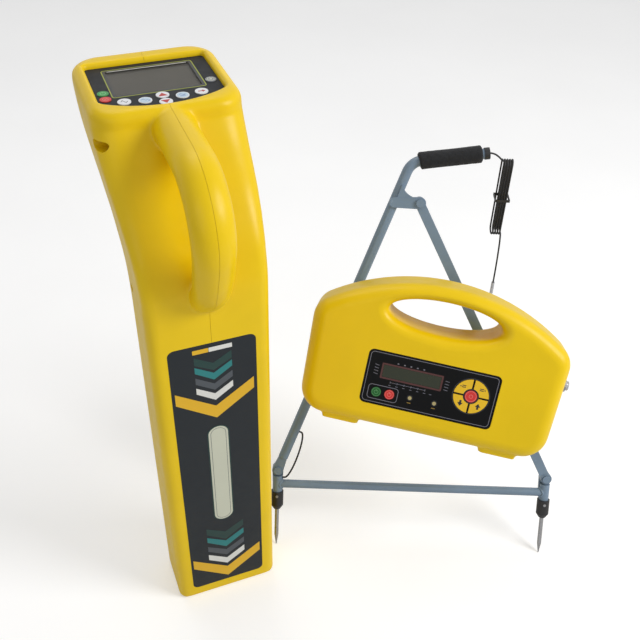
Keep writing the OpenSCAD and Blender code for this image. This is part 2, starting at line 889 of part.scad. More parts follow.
module transmitter_leds() {
    color([0.75, 0.3, 0.2]) on_case()
        for (x = led_x)
            translate([x, face_y - key_rise, face_z + led_z]) along_y() {
                cylinder(d = led_d, h = led_l);
                translate([0, 0, key_rise + panel_t + run])
                    cylinder(d = led_d + 2 * flange, h = board_gap - run - fit);
            }
}

module transmitter_socket() {
    color([0.7, 0.7, 0.72]) on_case()
        translate([case_w / 2, socket_y, socket_z]) along_x() difference() {
            translate([0, 0, -socket_l]) cylinder(d = socket_d, h = socket_l + socket_out);
            translate([0, 0, socket_floor - socket_l])
                cylinder(d = socket_hole_d, h = socket_l + socket_out - socket_floor + over);
        }
}

module transmitter_screws() {
    color([0.6, 0.6, 0.62]) on_case()
        for (x = [-1, 1], z = tx_screw_z)
            translate([x * tx_screw_x, 0, z]) along_y() {
                translate([0, 0, -tx_screw_reach]) cylinder(d = screw_d, h = tx_screw_reach + tx_screw_seat);
                translate([0, 0, tx_screw_seat]) cylinder(d = screw_head_d, h = screw_head_t);
            }
}

module round_key(x, d, z, tint) {
    color(tint) on_case() translate([x, face_back, face_z + z]) rotate([90, 0, 0]) key_solid(d);
}

module transmitter_key_on() {
    round_key(on_key_x, round_key_d, round_key_z, [0.2, 0.6, 0.25]);
}

module transmitter_key_off() {
    round_key(off_key_x, round_key_d, round_key_z, [0.75, 0.25, 0.2]);
}

module pad_centre() {
    round_key(pad_x, pad_mid_d, pad_z, [0.8, 0.2, 0.15]);
}

module pad_key(turn) {
    foot = face_back + run + flange_t;
    color([0.9, 0.75, 0.1]) on_case() {
        on_face(foot, flange_t + run + panel_t + key_rise) pad_quarter(turn, 0);
        on_face(foot, flange_t) pad_quarter(turn, flange);
        translate([pad_x, face_back + run, face_z + pad_z]) rotate([0, -turn, 0])
            translate([(pad_d + pad_hole_d) / 4, 0, 0])
            along_y() cylinder(d = stem_d, h = board_gap - key_travel - fit - run);
    }
}

module pad_right() {
    pad_key(pad_deg);
}

module pad_up() {
    pad_key(pad_deg + 270);
}

module pad_left() {
    pad_key(pad_deg + 90);
}

module pad_down() {
    pad_key(pad_deg + 180);
}

// A-frame
module on_leg() {
    translate([0, 0, foot_pin_w]) rotate([0, leg_lean, 0]) children();
}

// The start of the grip's straight, with z along it
module on_grip() {
    translate([apex_u, 0, apex_w] + grip_dir * apex_cut) rotate([0, 90 - grip_rise_deg, 0]) children();
}

// The main tube's run from just above its foot to the end of its grip
module main_run(d, from, past) {
    foot = [0, 0, foot_pin_w];
    leg_dir = [sin(leg_lean), 0, cos(leg_lean)];
    centre = foot + leg_dir * leg_l + apex_r * [cos(leg_lean), 0, -sin(leg_lean)];
    path = concat([foot + leg_dir * from],
        [for (i = [0:apex_steps]) let (a = 180 - leg_lean - apex_turn * i / apex_steps)
            centre + apex_r * [cos(a), 0, sin(a)]],
        [[apex_u, 0, apex_w] + grip_dir * (apex_cut + grip_run + past)]);
    skin(tube_rings(path, d / 2, tube_sides, [0, 1, 0]));
}

module flat_eye(u, w, y0, t, d) {
    translate([u, y0, w]) along_y() cylinder(d = d, h = t);
}

module pin_bore(u, w) {
    translate([u, 0, w]) along_y() cylinder(r = pin_d / 2 + run, h = 2 * eye_d, center = true);
}

module frame_main_tube() {
    tab_s = (pivot_w - foot_pin_w) / cos(leg_lean);
    color([0.42, 0.52, 0.6]) on_frame() difference() {
        union() {
            difference() {
                main_run(tube_d, foot_tongue, 0);
                main_run(tube_d - 2 * tube_wall, 2 * eye_d, over);
            }
            hull() {
                flat_eye(0, foot_pin_w, -brace_t / 2, brace_t, eye_d);
                on_leg() translate([-tongue_w / 2, -brace_t / 2, 0])
                    cube([tongue_w, brace_t, foot_tongue + tongue_in]);
            }
            hull() {
                flat_eye(pivot_u, pivot_w, -brace_t / 2 - lap - tab_t, tab_t, eye_d);
                flat_eye(tab_s * sin(leg_lean), pivot_w, -brace_t / 2 - lap - tab_t, tab_t, tube_d);
            }
        }
        pin_bore(0, foot_pin_w);
        pin_bore(pivot_u, pivot_w);
        on_leg() translate([0, 0, wire_s]) along_x() cylinder(r = wire_d / 2 + fit, h = tube_d);
    }
}

module frame_base() {
    out_deg = brace_dir + 90;
    slot_w = pin_d + 2 * fit;
    color([0.42, 0.52, 0.6]) on_frame() difference() {
        union() {
            translate([0, 0, bar_w]) along_x() cylinder(d = bar_d, h = spike_gap);
            for (u = [0, spike_gap]) {
                translate([u, 0, tee_low]) cylinder(d = tube_d, h = tee_top - tee_low);
                hull() {
                    flat_eye(u, foot_pin_w, brace_t / 2 + lap, tab_t, eye_d);
                    flat_eye(u, tee_top - eye_d / 2 - tab_drop, brace_t / 2 + lap, tab_t, eye_d - 2 * brace_step);
                }
            }
        }
        pin_bore(0, foot_pin_w);
        translate([tube_d / 2 - wire_in, 0, tee_top - wire_drop]) along_x()
            cylinder(r = wire_d / 2 + fit, h = wire_in + over);
        translate([spike_gap, 0, foot_pin_w]) along_y()
            cylinder(d = slot_w, h = 2 * eye_d, center = true);
        translate([spike_gap, 0, foot_pin_w]) rotate([0, -out_deg, 0])
            translate([0, -eye_d, run - slot_w / 2]) cube([eye_d, 2 * eye_d, slot_w - 2 * run]);
    }
}

module frame_brace() {
    color([0.42, 0.52, 0.6]) on_frame() difference() {
        union() {
            for (p = [[pivot_u, pivot_w], [spike_gap, foot_pin_w]])
                flat_eye(p[0], p[1], -brace_t / 2, brace_t, eye_d);
            translate([pivot_u, 0, pivot_w]) rotate([0, -brace_dir, 0])
                translate([brace_l / 2, 0, 0]) cube([brace_l, brace_t - 2 * brace_step, brace_w], center = true);
        }
        pin_bore(pivot_u, pivot_w);
        pin_bore(spike_gap, foot_pin_w);
    }
}

// A headed pin along y, from depth y0 to depth y1, with a nut where nut is 1
module headed_pin(u, w, y0, y1, nut) {
    flat_eye(u, w, y0 - pin_head_t, pin_head_t, pin_head_d);
    flat_eye(u, w, y0 - pin_head_t / 2, y1 - y0 + pin_head_t * (nut + 1) / 2, pin_d);
    if (nut == 1)
        flat_eye(u, w, y1, pin_head_t, pin_head_d);
}

module frame_pivot_pin() {
    color([0.7, 0.7, 0.72]) on_frame()
        headed_pin(pivot_u, pivot_w, -brace_t / 2 - lap - tab_t - run, brace_t / 2 + lap, 1);
}

module frame_hook_pin() {
    color([0.7, 0.7, 0.72]) on_frame()
        headed_pin(spike_gap, foot_pin_w, -brace_t / 2 - run, brace_t / 2 + lap + tab_t + run, 0);
}

module frame_foot_bolt() {
    color([0.7, 0.7, 0.72]) on_frame()
        headed_pin(0, foot_pin_w, -brace_t / 2 - run, brace_t / 2 + lap + tab_t + run, 1);
}

module frame_grip() {
    color([0.08, 0.08, 0.09]) on_frame() on_grip() translate([0, 0, grip_gap])
        difference() {
            cylinder(d = grip_d, h = grip_l);
            translate([0, 0, -over]) cylinder(r = tube_d / 2 + run, h = grip_l + 2 * over);
        }
}

module frame_gland() {
    color([0.1, 0.1, 0.11]) on_frame() on_grip() translate([0, 0, grip_run])
        difference() {
            union() {
                translate([0, 0, run]) cylinder(d = gland_d, h = gland_l - run);
                translate([0, 0, -gland_plug])
                    cylinder(r = tube_d / 2 - tube_wall - fit, h = gland_plug + gland_l / 2);
            }
            translate([0, 0, -gland_plug - over])
                cylinder(r = cord_d / 2 + fit, h = gland_plug + gland_l + 2 * over);
        }
}

module holder(u) {
    color([0.1, 0.1, 0.11]) on_frame() translate([u, 0, holder_z]) difference() {
        union() {
            cylinder(d1 = holder_end_d, d2 = holder_d, h = holder_taper);
            translate([0, 0, holder_taper]) cylinder(d = holder_d, h = holder_l - holder_taper);
        }
        translate([0, 0, holder_l - holder_over]) cylinder(r = tube_d / 2 + run, h = holder_over + over);
        translate([0, 0, -over]) cylinder(r = spike_d / 2 + run, h = spike_in + over);
        translate([0, 0, holder_l - set_screw_drop]) rotate([90, 0, 0])
            cylinder(r = set_screw_d / 2 + run, h = holder_d);
    }
}

module holder_left() {
    holder(0);
}

module holder_right() {
    holder(spike_gap);
}

module spike(u) {
    color([0.72, 0.72, 0.74]) on_frame() translate([u, 0, 0]) {
        cylinder(d1 = spike_tip_d, d2 = spike_d, h = spike_point);
        translate([0, 0, spike_point]) cylinder(d = spike_d, h = holder_z + spike_in - fit - spike_point);
    }
}

module spike_left() {
    spike(0);
}

module spike_right() {
    spike(spike_gap);
}

module holder_screws() {
    color([0.7, 0.7, 0.72]) on_frame()
        for (u = [0, spike_gap])
            translate([u, -tube_d / 2 - fit, holder_z + holder_l - set_screw_drop]) rotate([90, 0, 0])
                cylinder(d = set_screw_d, h = set_screw_l);
}

// Lead and wire: free cords
// One turn of the hank: two straight runs between half circles, from 0 at the middle of the top bend to 1
function hank_turn(f) = let (a = loop_rings * f, step = 90 / bend_rings, h = hank_l / 2 - hank_r,
    s1 = bend_rings, s2 = s1 + run_rings, s3 = s2 + 2 * bend_rings, s4 = s3 + run_rings)
    a < s1 ? [hank_r * sin(step * a), h + hank_r * cos(step * a)]
    : a < s2 ? [hank_r, h - 2 * h * (a - s1) / run_rings]
    : a < s3 ? [hank_r * cos(step * (a - s2)), -h - hank_r * sin(step * (a - s2))]
    : a < s4 ? [-hank_r, 2 * h * (a - s3) / run_rings - h]
    : [-hank_r * cos(step * (a - s4)), h + hank_r * sin(step * (a - s4))];

function hank_point(t) = let (q = hank_turn(t - floor(t)))
    [hank_u + hank_pitch * t, hank_y + q[0], hank_w + q[1]];

// A place or a direction of the leaning frame, as an upright one
function upright(p) = [p[0], p[1] * cos(frame_lean) + p[2] * sin(frame_lean),
    p[2] * cos(frame_lean) - p[1] * sin(frame_lean)];

module on_plumb() {
    translate([foot_x, foot_y, 0]) rotate([0, 0, -frame_yaw]) children();
}

function lead_path() = let (
    dir = upright(grip_dir),
    out = upright([apex_u, 0, apex_w] + grip_dir * (apex_cut + grip_run + gland_l)),
    top = hank_point(0), low = hank_point(hank_turns),
    lead_in = [out, out + dir * top_step, top - [0, top_step, 0], top],
    tail = [low, low - low_step, plug_top + [0, 0, tail_drop], plug_top])
    concat([out - dir * cord_in],
        [for (i = [0:bezier_steps - 1]) bezier(lead_in, i / bezier_steps)],
        [for (i = [0:hank_turns * loop_rings]) hank_point(i / loop_rings)],
        [for (i = [1:bezier_steps]) bezier(tail, i / bezier_steps)],
        [plug_top - [0, 0, cord_in]]);

function path_length(p) = len(p) < 2 ? 0
    : let (d = [for (i = [1:len(p) - 1]) norm(p[i] - p[i - 1])]) d * [for (x = d) 1];

module lead() {
    path = lead_path();
    apart = round(loop_rings / 3);
    gap = min([for (i = [0:len(path) - 1]) for (j = [i + apart:1:len(path) - 1]) norm(path[i] - path[j])]);
    echo(str("lead length ", path_length(path), ", least gap to itself ", gap - cord_d));
    color([0.09, 0.09, 0.1]) on_plumb() skin(tube_rings(path, cord_d / 2, cord_sides, [1, 0, -1]));
}

module lead_tie() {
    x0 = hank_u - cord_d / 2 - fit;
    x1 = hank_u + hank_turns * hank_pitch + cord_d / 2 + fit;
    half = hank_r + cord_d / 2 + fit;
    color([0.12, 0.12, 0.13]) on_plumb() difference() {
        translate([x0 - tie_t, hank_y - half - tie_t, hank_w - tie_h / 2])
            cube([x1 - x0 + 2 * tie_t, 2 * (half + tie_t), tie_h]);
        translate([x0, hank_y - half, hank_w - tie_h])
            cube([x1 - x0, 2 * half, 2 * tie_h]);
    }
}

module lead_plug() {
    color([0.75, 0.75, 0.77]) on_plumb() translate(plug_top) difference() {
        union() {
            translate([0, 0, -plug_l]) cylinder(d = plug_d, h = plug_l);
            translate([0, 0, -plug_l - plug_pin_l]) cylinder(d = plug_pin_d, h = plug_pin_l);
        }
        translate([0, 0, -cord_in - fit]) cylinder(r = cord_d / 2 + fit, h = cord_in + over + fit);
    }
}

module frame_wire() {
    side = [cos(leg_lean), 0, -sin(leg_lean)];
    at = [0, 0, foot_pin_w] + wire_s * [sin(leg_lean), 0, cos(leg_lean)] + side * (tube_d / 2 - tube_wall);
    out = at + side * (tube_wall + wire_stub);
    tee = [tube_d / 2 - wire_in + fit, 0, tee_top - wire_drop];
    near = tee + [wire_in + wire_stub, 0, 0];
    run_points = [out, out + side * wire_out, near + [wire_bow, 0, 0], near];
    path = concat([at], [for (i = [0:wire_steps]) bezier(run_points, i / wire_steps)], [tee]);
    color([0.07, 0.07, 0.08]) on_frame() skin(tube_rings(path, wire_d / 2, wire_sides, [0, 1, 0]));
}

receiver_left_shell();
receiver_right_shell();
receiver_panel();
receiver_window();
receiver_lcd();
receiver_board();
receiver_label();
receiver_screws();
receiver_battery();
antenna_lower();
antenna_upper();
key_on();
key_off();
key_function();
key_mode_left();
key_up();
key_down();
key_mode_right();
key_direction();
key_light();
transmitter_front_shell();
transmitter_rear_shell();
transmitter_panel();
transmitter_window();
transmitter_lcd();
transmitter_board();
transmitter_battery();
transmitter_leds();
transmitter_socket();
transmitter_screws();
transmitter_key_on();
transmitter_key_off();
pad_up();
pad_right();
pad_down();
pad_left();
pad_centre();
frame_main_tube();
frame_base();
frame_brace();
frame_pivot_pin();
frame_hook_pin();
frame_foot_bolt();
frame_grip();
frame_gland();
holder_left();
holder_right();
spike_left();
spike_right();
holder_screws();
frame_wire();
lead();
lead_tie();
lead_plug();
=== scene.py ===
"""Looks of the cable locator set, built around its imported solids."""
import math
import bpy
import bmesh
from mathutils import Matrix, Vector


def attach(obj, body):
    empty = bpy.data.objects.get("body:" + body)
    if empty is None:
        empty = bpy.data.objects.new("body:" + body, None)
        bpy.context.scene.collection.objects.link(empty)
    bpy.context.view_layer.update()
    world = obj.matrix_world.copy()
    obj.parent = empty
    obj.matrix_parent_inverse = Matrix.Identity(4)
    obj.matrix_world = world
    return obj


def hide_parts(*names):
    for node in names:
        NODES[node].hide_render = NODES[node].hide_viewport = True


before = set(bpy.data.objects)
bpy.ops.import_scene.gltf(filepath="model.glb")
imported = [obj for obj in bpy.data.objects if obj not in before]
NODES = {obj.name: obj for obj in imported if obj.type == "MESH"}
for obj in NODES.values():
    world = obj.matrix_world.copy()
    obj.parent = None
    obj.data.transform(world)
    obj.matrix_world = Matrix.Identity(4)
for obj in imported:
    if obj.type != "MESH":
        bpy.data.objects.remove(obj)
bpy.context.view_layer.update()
MM = 0.001


# Places, as the part's source has them, in millimetres and degrees
def turn(deg, axis):
    return Matrix.Rotation(math.radians(deg), 4, axis)


def move(x, y, z):
    return Matrix.Translation(Vector((x, y, z)) * MM)


FRAME_AT, FRAME_YAW, FRAME_LEAN = (86, 4, 0), -22.6, -26
CASE_U, CASE_W, CASE_REST, CASE_REACH = 208, 282, 7.3, 150
CASE_TURN, CASE_TILT, CASE_HALF_D = 6, 9.5, 40
BLADE_HALF_D, PANEL_TOP, TX_MID, TX_FACE, KEY_RISE = 40, 684, 74, -39, 0.8
ON_PLUMB = move(*FRAME_AT) @ turn(FRAME_YAW, "Z")
ON_FRAME = ON_PLUMB @ turn(FRAME_LEAN, "X")
CASE_BACK = -CASE_REST - CASE_REACH * math.tan(math.radians(CASE_TURN))
ON_CASE = (ON_FRAME @ move(CASE_U, CASE_BACK, CASE_W) @ turn(-CASE_TURN, "Z") @ move(0, -CASE_HALF_D, 0)
           @ turn(CASE_TILT, "Y") @ move(0, 0, -TX_MID))
ON_LABEL = move(0, -BLADE_HALF_D, 0) @ turn(90, "X")
ON_PANEL = move(0, 0, PANEL_TOP)
ON_TX = ON_CASE @ move(0, TX_FACE, TX_MID) @ turn(90, "X")

# Camera, as solved from the photograph
FOCAL_PX, PHOTO_PX, SENSOR = 867.6, 640, 36
CAMERA_AT, CAMERA_ROLL = Vector((-163.7, -736.8, 1082.6)), -1.9
CAMERA_WAY, CAMERA_RIGHT = Vector((0.2957, 0.7103, -0.6388)), Vector((0.9232, -0.3843, 0))


def set_camera():
    fwd, right = CAMERA_WAY.normalized(), CAMERA_RIGHT.normalized()
    down = fwd.cross(right)
    roll = math.radians(CAMERA_ROLL)
    x = right * math.cos(roll) + down * math.sin(roll)
    y = right * math.sin(roll) - down * math.cos(roll)
    data = bpy.data.cameras.new("camera")
    data.lens = FOCAL_PX / PHOTO_PX * SENSOR
    data.sensor_width = SENSOR
    data.clip_start = 0.01
    cam = bpy.data.objects.new("camera", data)
    m = Matrix((x, y, -fwd)).transposed().to_4x4()
    m.translation = CAMERA_AT * MM
    cam.matrix_world = m
    bpy.context.scene.collection.objects.link(cam)
    bpy.context.scene.camera = cam


set_camera()


# Materials
def lin(r, g, b):
    """A linear colour from the 0 to 255 values of a screen."""
    def one(c):
        c = c / 255
        return c / 12.92 if c <= 0.04045 else ((c + 0.055) / 1.055) ** 2.4
    return (one(r), one(g), one(b), 1.0)


def shade(c, k):
    return (min(1, c[0] * k), min(1, c[1] * k), min(1, c[2] * k), 1.0)


class Mat:
    """A node material with the few steps that every finish here is made of."""

    def __init__(self, name):
        self.m = bpy.data.materials.new(name)
        self.m.use_nodes = True
        self.nt = self.m.node_tree
        self.bsdf = self.nt.nodes["Principled BSDF"]
        self.at = self.add("ShaderNodeTexCoord").outputs["Object"]

    def add(self, kind, **values):
        n = self.nt.nodes.new(kind)
        for k, v in values.items():
            setattr(n, k, v)
        return n

    def link(self, a, b):
        self.nt.links.new(a, b)

    def give(self, socket, out):
        """Feeds an output to one of the shader's sockets."""
        self.link(out, self.bsdf.inputs[socket])

    def noise(self, scale, detail=3.0, rough=0.55, stretch=None):
        n = self.add("ShaderNodeTexNoise")
        n.inputs["Scale"].default_value = scale
        n.inputs["Detail"].default_value = detail
        n.inputs["Roughness"].default_value = rough
        at = self.at
        if stretch:
            mp = self.add("ShaderNodeMapping")
            mp.inputs["Scale"].default_value = stretch
            self.link(at, mp.inputs["Vector"])
            at = mp.outputs["Vector"]
        self.link(at, n.inputs["Vector"])
        return n.outputs["Fac"]

    def ramp(self, fac, stops):
        r = self.add("ShaderNodeValToRGB")
        while len(r.color_ramp.elements) < len(stops):
            r.color_ramp.elements.new(0.5)
        for e, (p, c) in zip(r.color_ramp.elements, stops):
            e.position = p
            e.color = c
        self.link(fac, r.inputs["Fac"])
        return r.outputs["Color"]

    def span(self, fac, low, high, a=0.3, b=0.7):
        n = self.add("ShaderNodeMapRange")
        n.inputs["From Min"].default_value = a
        n.inputs["From Max"].default_value = b
        n.inputs["To Min"].default_value = low
        n.inputs["To Max"].default_value = high
        self.link(fac, n.inputs["Value"])
        return n.outputs["Result"]

    def bump(self, fac, strength, distance, normal=None):
        b = self.add("ShaderNodeBump")
        b.inputs["Strength"].default_value = strength
        b.inputs["Distance"].default_value = distance
        self.link(fac, b.inputs["Height"])
        if normal is not None:
            self.link(normal, b.inputs["Normal"])
        return b.outputs["Normal"]

    def soft_edge(self, radius):
        n = self.add("ShaderNodeBevel", samples=4)
        n.inputs["Radius"].default_value = radius
        return n.outputs["Normal"]


def plastic(name, colour, rough=0.42, grain=0.10, scale=1100, vary=0.05, edge=0.0006, coat=0.0, spec=0.5):
    """Moulded plastic: slow colour drift, faint rub marks in the gloss, a fine grain and eased edges."""
    k = Mat(name)
    k.give("Base Color", k.ramp(k.noise(11, 4), [(0.32, shade(colour, 1 - vary)), (0.68, shade(colour, 1 + vary))]))
    k.give("Roughness", k.span(k.noise(70, 5, 0.65), rough - 0.06, rough + 0.07))
    k.give("Normal", k.bump(k.noise(scale, 2), grain, 0.00025, k.soft_edge(edge)))
    k.bsdf.inputs["Specular IOR Level"].default_value = spec
    k.bsdf.inputs["Coat Weight"].default_value = coat
    return k.m


def key_cap(name, rgb, vary=0.06, rough=0.38, spec=0.5):
    return plastic(name, lin(*rgb), rough, 0.06, 1500, vary, 0.0004, 0.0, spec)


def ink(name, rgb, vary, rough=0.42):
    """Printing ink, also used for the painted reflection on the receiver's panel: a film with hardly any edge."""
    return plastic(name, lin(*rgb), rough, 0.04, 1500, vary, 0.0001)


def metal(name, colour, rough, stretch, vary=0.12):
    """Bright metal with drawn or turned marks."""
    k = Mat(name)
    fac = k.noise(1.0, 4, 0.6, stretch)
    k.give("Base Color", k.ramp(fac, [(0.3, shade(colour, 1 - vary)), (0.7, shade(colour, 1 + vary))]))
    k.give("Roughness", k.span(fac, rough - 0.08, rough + 0.1))
    k.give("Normal", k.bump(fac, 0.12, 0.0001, k.soft_edge(0.0003)))
    k.bsdf.inputs["Metallic"].default_value = 1.0
    return k.m


def paint(name, colour):
    """Stove enamel over tube: a faint orange peel and scuffs that show a paler coat."""
    k = Mat(name)
    drift = k.ramp(k.noise(26, 4), [(0.35, shade(colour, 0.92)), (0.66, shade(colour, 1.07))])
    scuff = k.span(k.noise(130, 6, 0.7, (1, 1, 0.25)), 0.0, 1.0, 0.66, 0.72)
    mix = k.add("ShaderNodeMix", data_type="RGBA")
    k.link(scuff, mix.inputs["Factor"])
    k.link(drift, mix.inputs["A"])
    mix.inputs["B"].default_value = shade(colour, 1.5)
    k.give("Base Color", mix.outputs["Result"])
    k.give("Roughness", k.span(k.noise(200, 4), 0.30, 0.44))
    k.give("Normal", k.bump(k.noise(420, 2), 0.10, 0.0003, k.soft_edge(0.0005)))
    k.bsdf.inputs["Coat Weight"].default_value = 0.15
    return k.m


def foam(name, colour):
    """Closed-cell foam: open pits of two sizes and a dry sheen."""
    k = Mat(name)
    v = k.add("ShaderNodeTexVoronoi")
    v.inputs["Scale"].default_value = 900
    k.link(k.at, v.inputs["Vector"])
    k.give("Base Color", k.ramp(k.noise(240, 4), [(0.3, shade(colour, 0.6)), (0.75, shade(colour, 1.8))]))
    k.bsdf.inputs["Roughness"].default_value = 0.92
    k.bsdf.inputs["Sheen Weight"].default_value = 0.06
    pits = k.bump(v.outputs["Distance"], 0.55, 0.0006)
    k.give("Normal", k.bump(k.noise(160, 5), 0.35, 0.0008, pits))
    return k.m


def rubber(name, colour, rough=0.55):
    """Cord jacket and tie: a dull, finely mottled skin."""
    k = Mat(name)
    k.give("Base Color", k.ramp(k.noise(300, 4), [(0.3, shade(colour, 0.8)), (0.7, shade(colour, 1.35))]))
    k.give("Roughness", k.span(k.noise(500, 3), rough - 0.1, rough + 0.1))
    k.give("Normal", k.bump(k.noise(1500, 2), 0.08, 0.0002))
    return k.m


def clear(name, colour):
    """A thin clear window with faint smears in its gloss."""
    k = Mat(name)
    k.give("Base Color", k.ramp(k.noise(40, 4), [(0.3, shade(colour, 0.94)), (0.7, colour)]))
    k.give("Roughness", k.span(k.noise(55, 5, 0.7, (1, 3, 1)), 0.05, 0.16))
    k.bsdf.inputs["Alpha"].default_value = 0.14
    k.bsdf.inputs["IOR"].default_value = 1.46
    return k.m


def display(name, colour, step):
    """A reflective display: a fine grid of dots over a grey-green field with cloudy shading."""
    k = Mat(name)
    b = k.add("ShaderNodeTexBrick", offset=0.0, squash=1.0)
    b.inputs["Scale"].default_value = 1.0
    b.inputs["Brick Width"].default_value = step
    b.inputs["Row Height"].default_value = step
    b.inputs["Mortar Size"].default_value = step * 0.1
    b.inputs["Color1"].default_value = colour
    b.inputs["Color2"].default_value = shade(colour, 0.97)
    b.inputs["Mortar"].default_value = shade(colour, 1.08)
    k.link(k.at, b.inputs["Vector"])
    mix = k.add("ShaderNodeMix", data_type="RGBA", blend_type="MULTIPLY")
    mix.inputs["Factor"].default_value = 1.0
    k.link(b.outputs["Color"], mix.inputs["A"])
    k.link(k.ramp(k.noise(16, 3), [(0.3, (0.86, 0.86, 0.84, 1)), (0.7, (1, 1, 1, 1))]), mix.inputs["B"])
    k.give("Base Color", mix.outputs["Result"])
    k.give("Roughness", k.span(k.noise(90, 3), 0.32, 0.45))
    k.bsdf.inputs["Specular IOR Level"].default_value = 0.15
    return k.m


M = {
    "shell": plastic("shell_yellow", lin(236, 199, 8), 0.36, 0.10, 1300, 0.035, 0.0005, spec=0.28),
    "panel": plastic("panel_slate", lin(27, 30, 35), 0.5, 0.10, 1800, 0.08, 0.0003, spec=0.15),
    "panel_black": plastic("panel_black", lin(8, 9, 11), 0.5, 0.10, 1800, 0.10, 0.0003, spec=0.12),
    "label": plastic("label_navy", lin(27, 33, 38), 0.42, 0.05, 1400, 0.08, 0.0002, spec=0.3),
    "window": clear("window_clear", (0.05, 0.055, 0.05, 1)),
    "window_smoke": plastic("window_smoke", lin(44, 49, 35), 0.22, 0.02, 900, 0.05, 0.0002, spec=0.3),
    "lcd": display("display_grey", lin(106, 102, 94), 0.0009),
    "lcd_small": display("display_small", lin(46, 50, 36), 0.0007),
    "board": plastic("board_green", lin(22, 90, 50), 0.4, 0.05),
    "cells": plastic("battery_dark", lin(40, 40, 44), 0.5),
    "ferrite": plastic("ferrite", lin(58, 54, 50), 0.6),
    "green": key_cap("key_green", (36, 140, 62)),
    "green_dark": key_cap("key_green_dark", (24, 92, 40), spec=0.3),
    "red": key_cap("key_red", (205, 42, 38)),
    "white": key_cap("key_white", (226, 228, 232), 0.04),
    "grey": key_cap("key_grey", (128, 132, 138), 0.05, 0.40),
    "pad": key_cap("pad_yellow", (232, 188, 22), 0.05),
    "led": plastic("led_amber", lin(172, 158, 104), 0.2, 0.03, 900, 0.06, 0.0003, coat=0.5),
    "steel": metal("screw_steel", lin(150, 150, 152), 0.34, (900, 900, 900)),
    "spike": metal("spike_steel", lin(158, 158, 160), 0.32, (900, 900, 90)),
    "chrome": metal("plug_metal", lin(196, 196, 198), 0.22, (700, 700, 700), 0.08),
    "tube": paint("tube_blue", lin(112, 132, 152)),
    "foam": foam("grip_foam", lin(19, 20, 23)),
    "holder": plastic("holder_black", lin(22, 22, 24), 0.45, 0.12, 900, 0.12),
    "cord": rubber("cord_black", lin(18, 18, 20)),
    "tie": rubber("tie_black", lin(34, 34, 37), 0.42),
}
INKS = {
    "ink_yellow": ((228, 178, 18), 0.05),
    "ink_teal": ((24, 122, 122), 0.06),
    "ink_green": ((6, 52, 48), 0.08),
    "ink_grey": ((72, 78, 84), 0.06),
    # This white is printing ink on the label and also draws a painted reflection: a bar along the receiver window's
    # rear edge
    "white_ink_and_painted_reflection": ((222, 222, 216), 0.03),
    "ink_pale": ((200, 202, 182), 0.03),
    "ink_red": ((176, 40, 34), 0.06),
    "ink_lime": ((150, 160, 40), 0.06),
    "ink_blue": ((60, 96, 170), 0.06),
    "ink_dark": ((20, 22, 26), 0.08),
    "ink_lightgreen": ((120, 200, 130), 0.05),
    "ink_moss": ((86, 150, 92), 0.05),
    "ink_rose": ((228, 120, 112), 0.05),
    "ink_sky": ((186, 206, 222), 0.04),
    "ink_line": ((112, 112, 124), 0.05, 0.45),
    "ink_maroon": ((72, 30, 28), 0.06, 0.45),
    "ink_amber": ((150, 120, 40), 0.05, 0.45),
}
M.update({name: ink(name, *look) for name, look in INKS.items()})

FINISH = {
    "shell": "receiver_left_shell receiver_right_shell transmitter_front_shell transmitter_rear_shell",
    "panel": "receiver_panel",
    "panel_black": "transmitter_panel",
    "window": "receiver_window",
    "window_smoke": "transmitter_window",
    "lcd": "receiver_lcd",
    "lcd_small": "transmitter_lcd",
    "board": "receiver_board transmitter_board",
    "cells": "receiver_battery transmitter_battery",
    "ferrite": "antenna_lower antenna_upper",
    "label": "receiver_label",
    "green": "key_on",
    "green_dark": "transmitter_key_on",
    "red": "key_off transmitter_key_off pad_centre",
    "white": "key_function key_mode_left key_up key_down key_mode_right key_direction",
    "grey": "key_light",
    "pad": "pad_up pad_right pad_down pad_left",
    "led": "transmitter_leds",
    "chrome": "transmitter_socket lead_plug",
    "steel": "receiver_screws transmitter_screws holder_screws",
    "tube": "frame_main_tube frame_base frame_brace frame_pivot_pin frame_hook_pin frame_foot_bolt",
    "foam": "frame_grip",
    "holder": "frame_gland holder_left holder_right",
    "spike": "spike_left spike_right",
    "cord": "lead frame_wire",
    "tie": "lead_tie",
}
for finish, names in FINISH.items():
    for name in names.split():
        data = NODES[name].data
        data.materials.clear()
        data.materials.append(M[finish])


# Pieces
def put(name, data, mat, body="set"):
    o = bpy.data.objects.new(name, data)
    bpy.context.scene.collection.objects.link(o)
    data.materials.append(mat)
    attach(o, body)
    return o


def turns(n):
    """Angles right round a circle, in n equal steps."""
    return [2 * math.pi * i / n for i in range(n)]


def quarter(n):
    """Angles from nothing to a right angle, in n equal steps."""
    return [math.radians(90 * i / n) for i in range(n + 1)]


def band(bm, a, b):
    """The faces between two closed rows of points."""
    for i in range(len(a)):
        j = (i + 1) % len(a)
        bm.faces.new((a[i], a[j], b[j], b[i]))


def as_mesh(name, bm):
    bmesh.ops.recalc_face_normals(bm, faces=bm.faces)
    me = bpy.data.meshes.new(name)
    bm.to_mesh(me)
    bm.free()
    return me


def smooth(me, sharp=None):
    me.polygons.foreach_set("use_smooth", [True] * len(me.polygons))
    if sharp:
        me.set_sharp_from_angle(angle=math.radians(sharp))


def round_curve(name, points, radius, resolution):
    c = bpy.data.curves.new(name, "CURVE")
    c.dimensions = "3D"
    c.bevel_depth = radius * MM
    c.bevel_resolution = resolution
    line = c.splines.new("POLY")
    line.points.add(len(points) - 1)
    for p, at in zip(line.points, points):
        p.co = (*at, 1)
    line.use_smooth = True
    return c, line


def cord_curve(name, points, diameter, mat):
    c, _ = round_curve(name, points, diameter / 2, 5)
    c.use_fill_caps = True
    return put(name, c, mat)


def bezier(p, t):
    return p[0] * (1 - t) ** 3 + p[1] * (3 * t * (1 - t) ** 2) + p[2] * (3 * t * t * (1 - t)) + p[3] * t ** 3


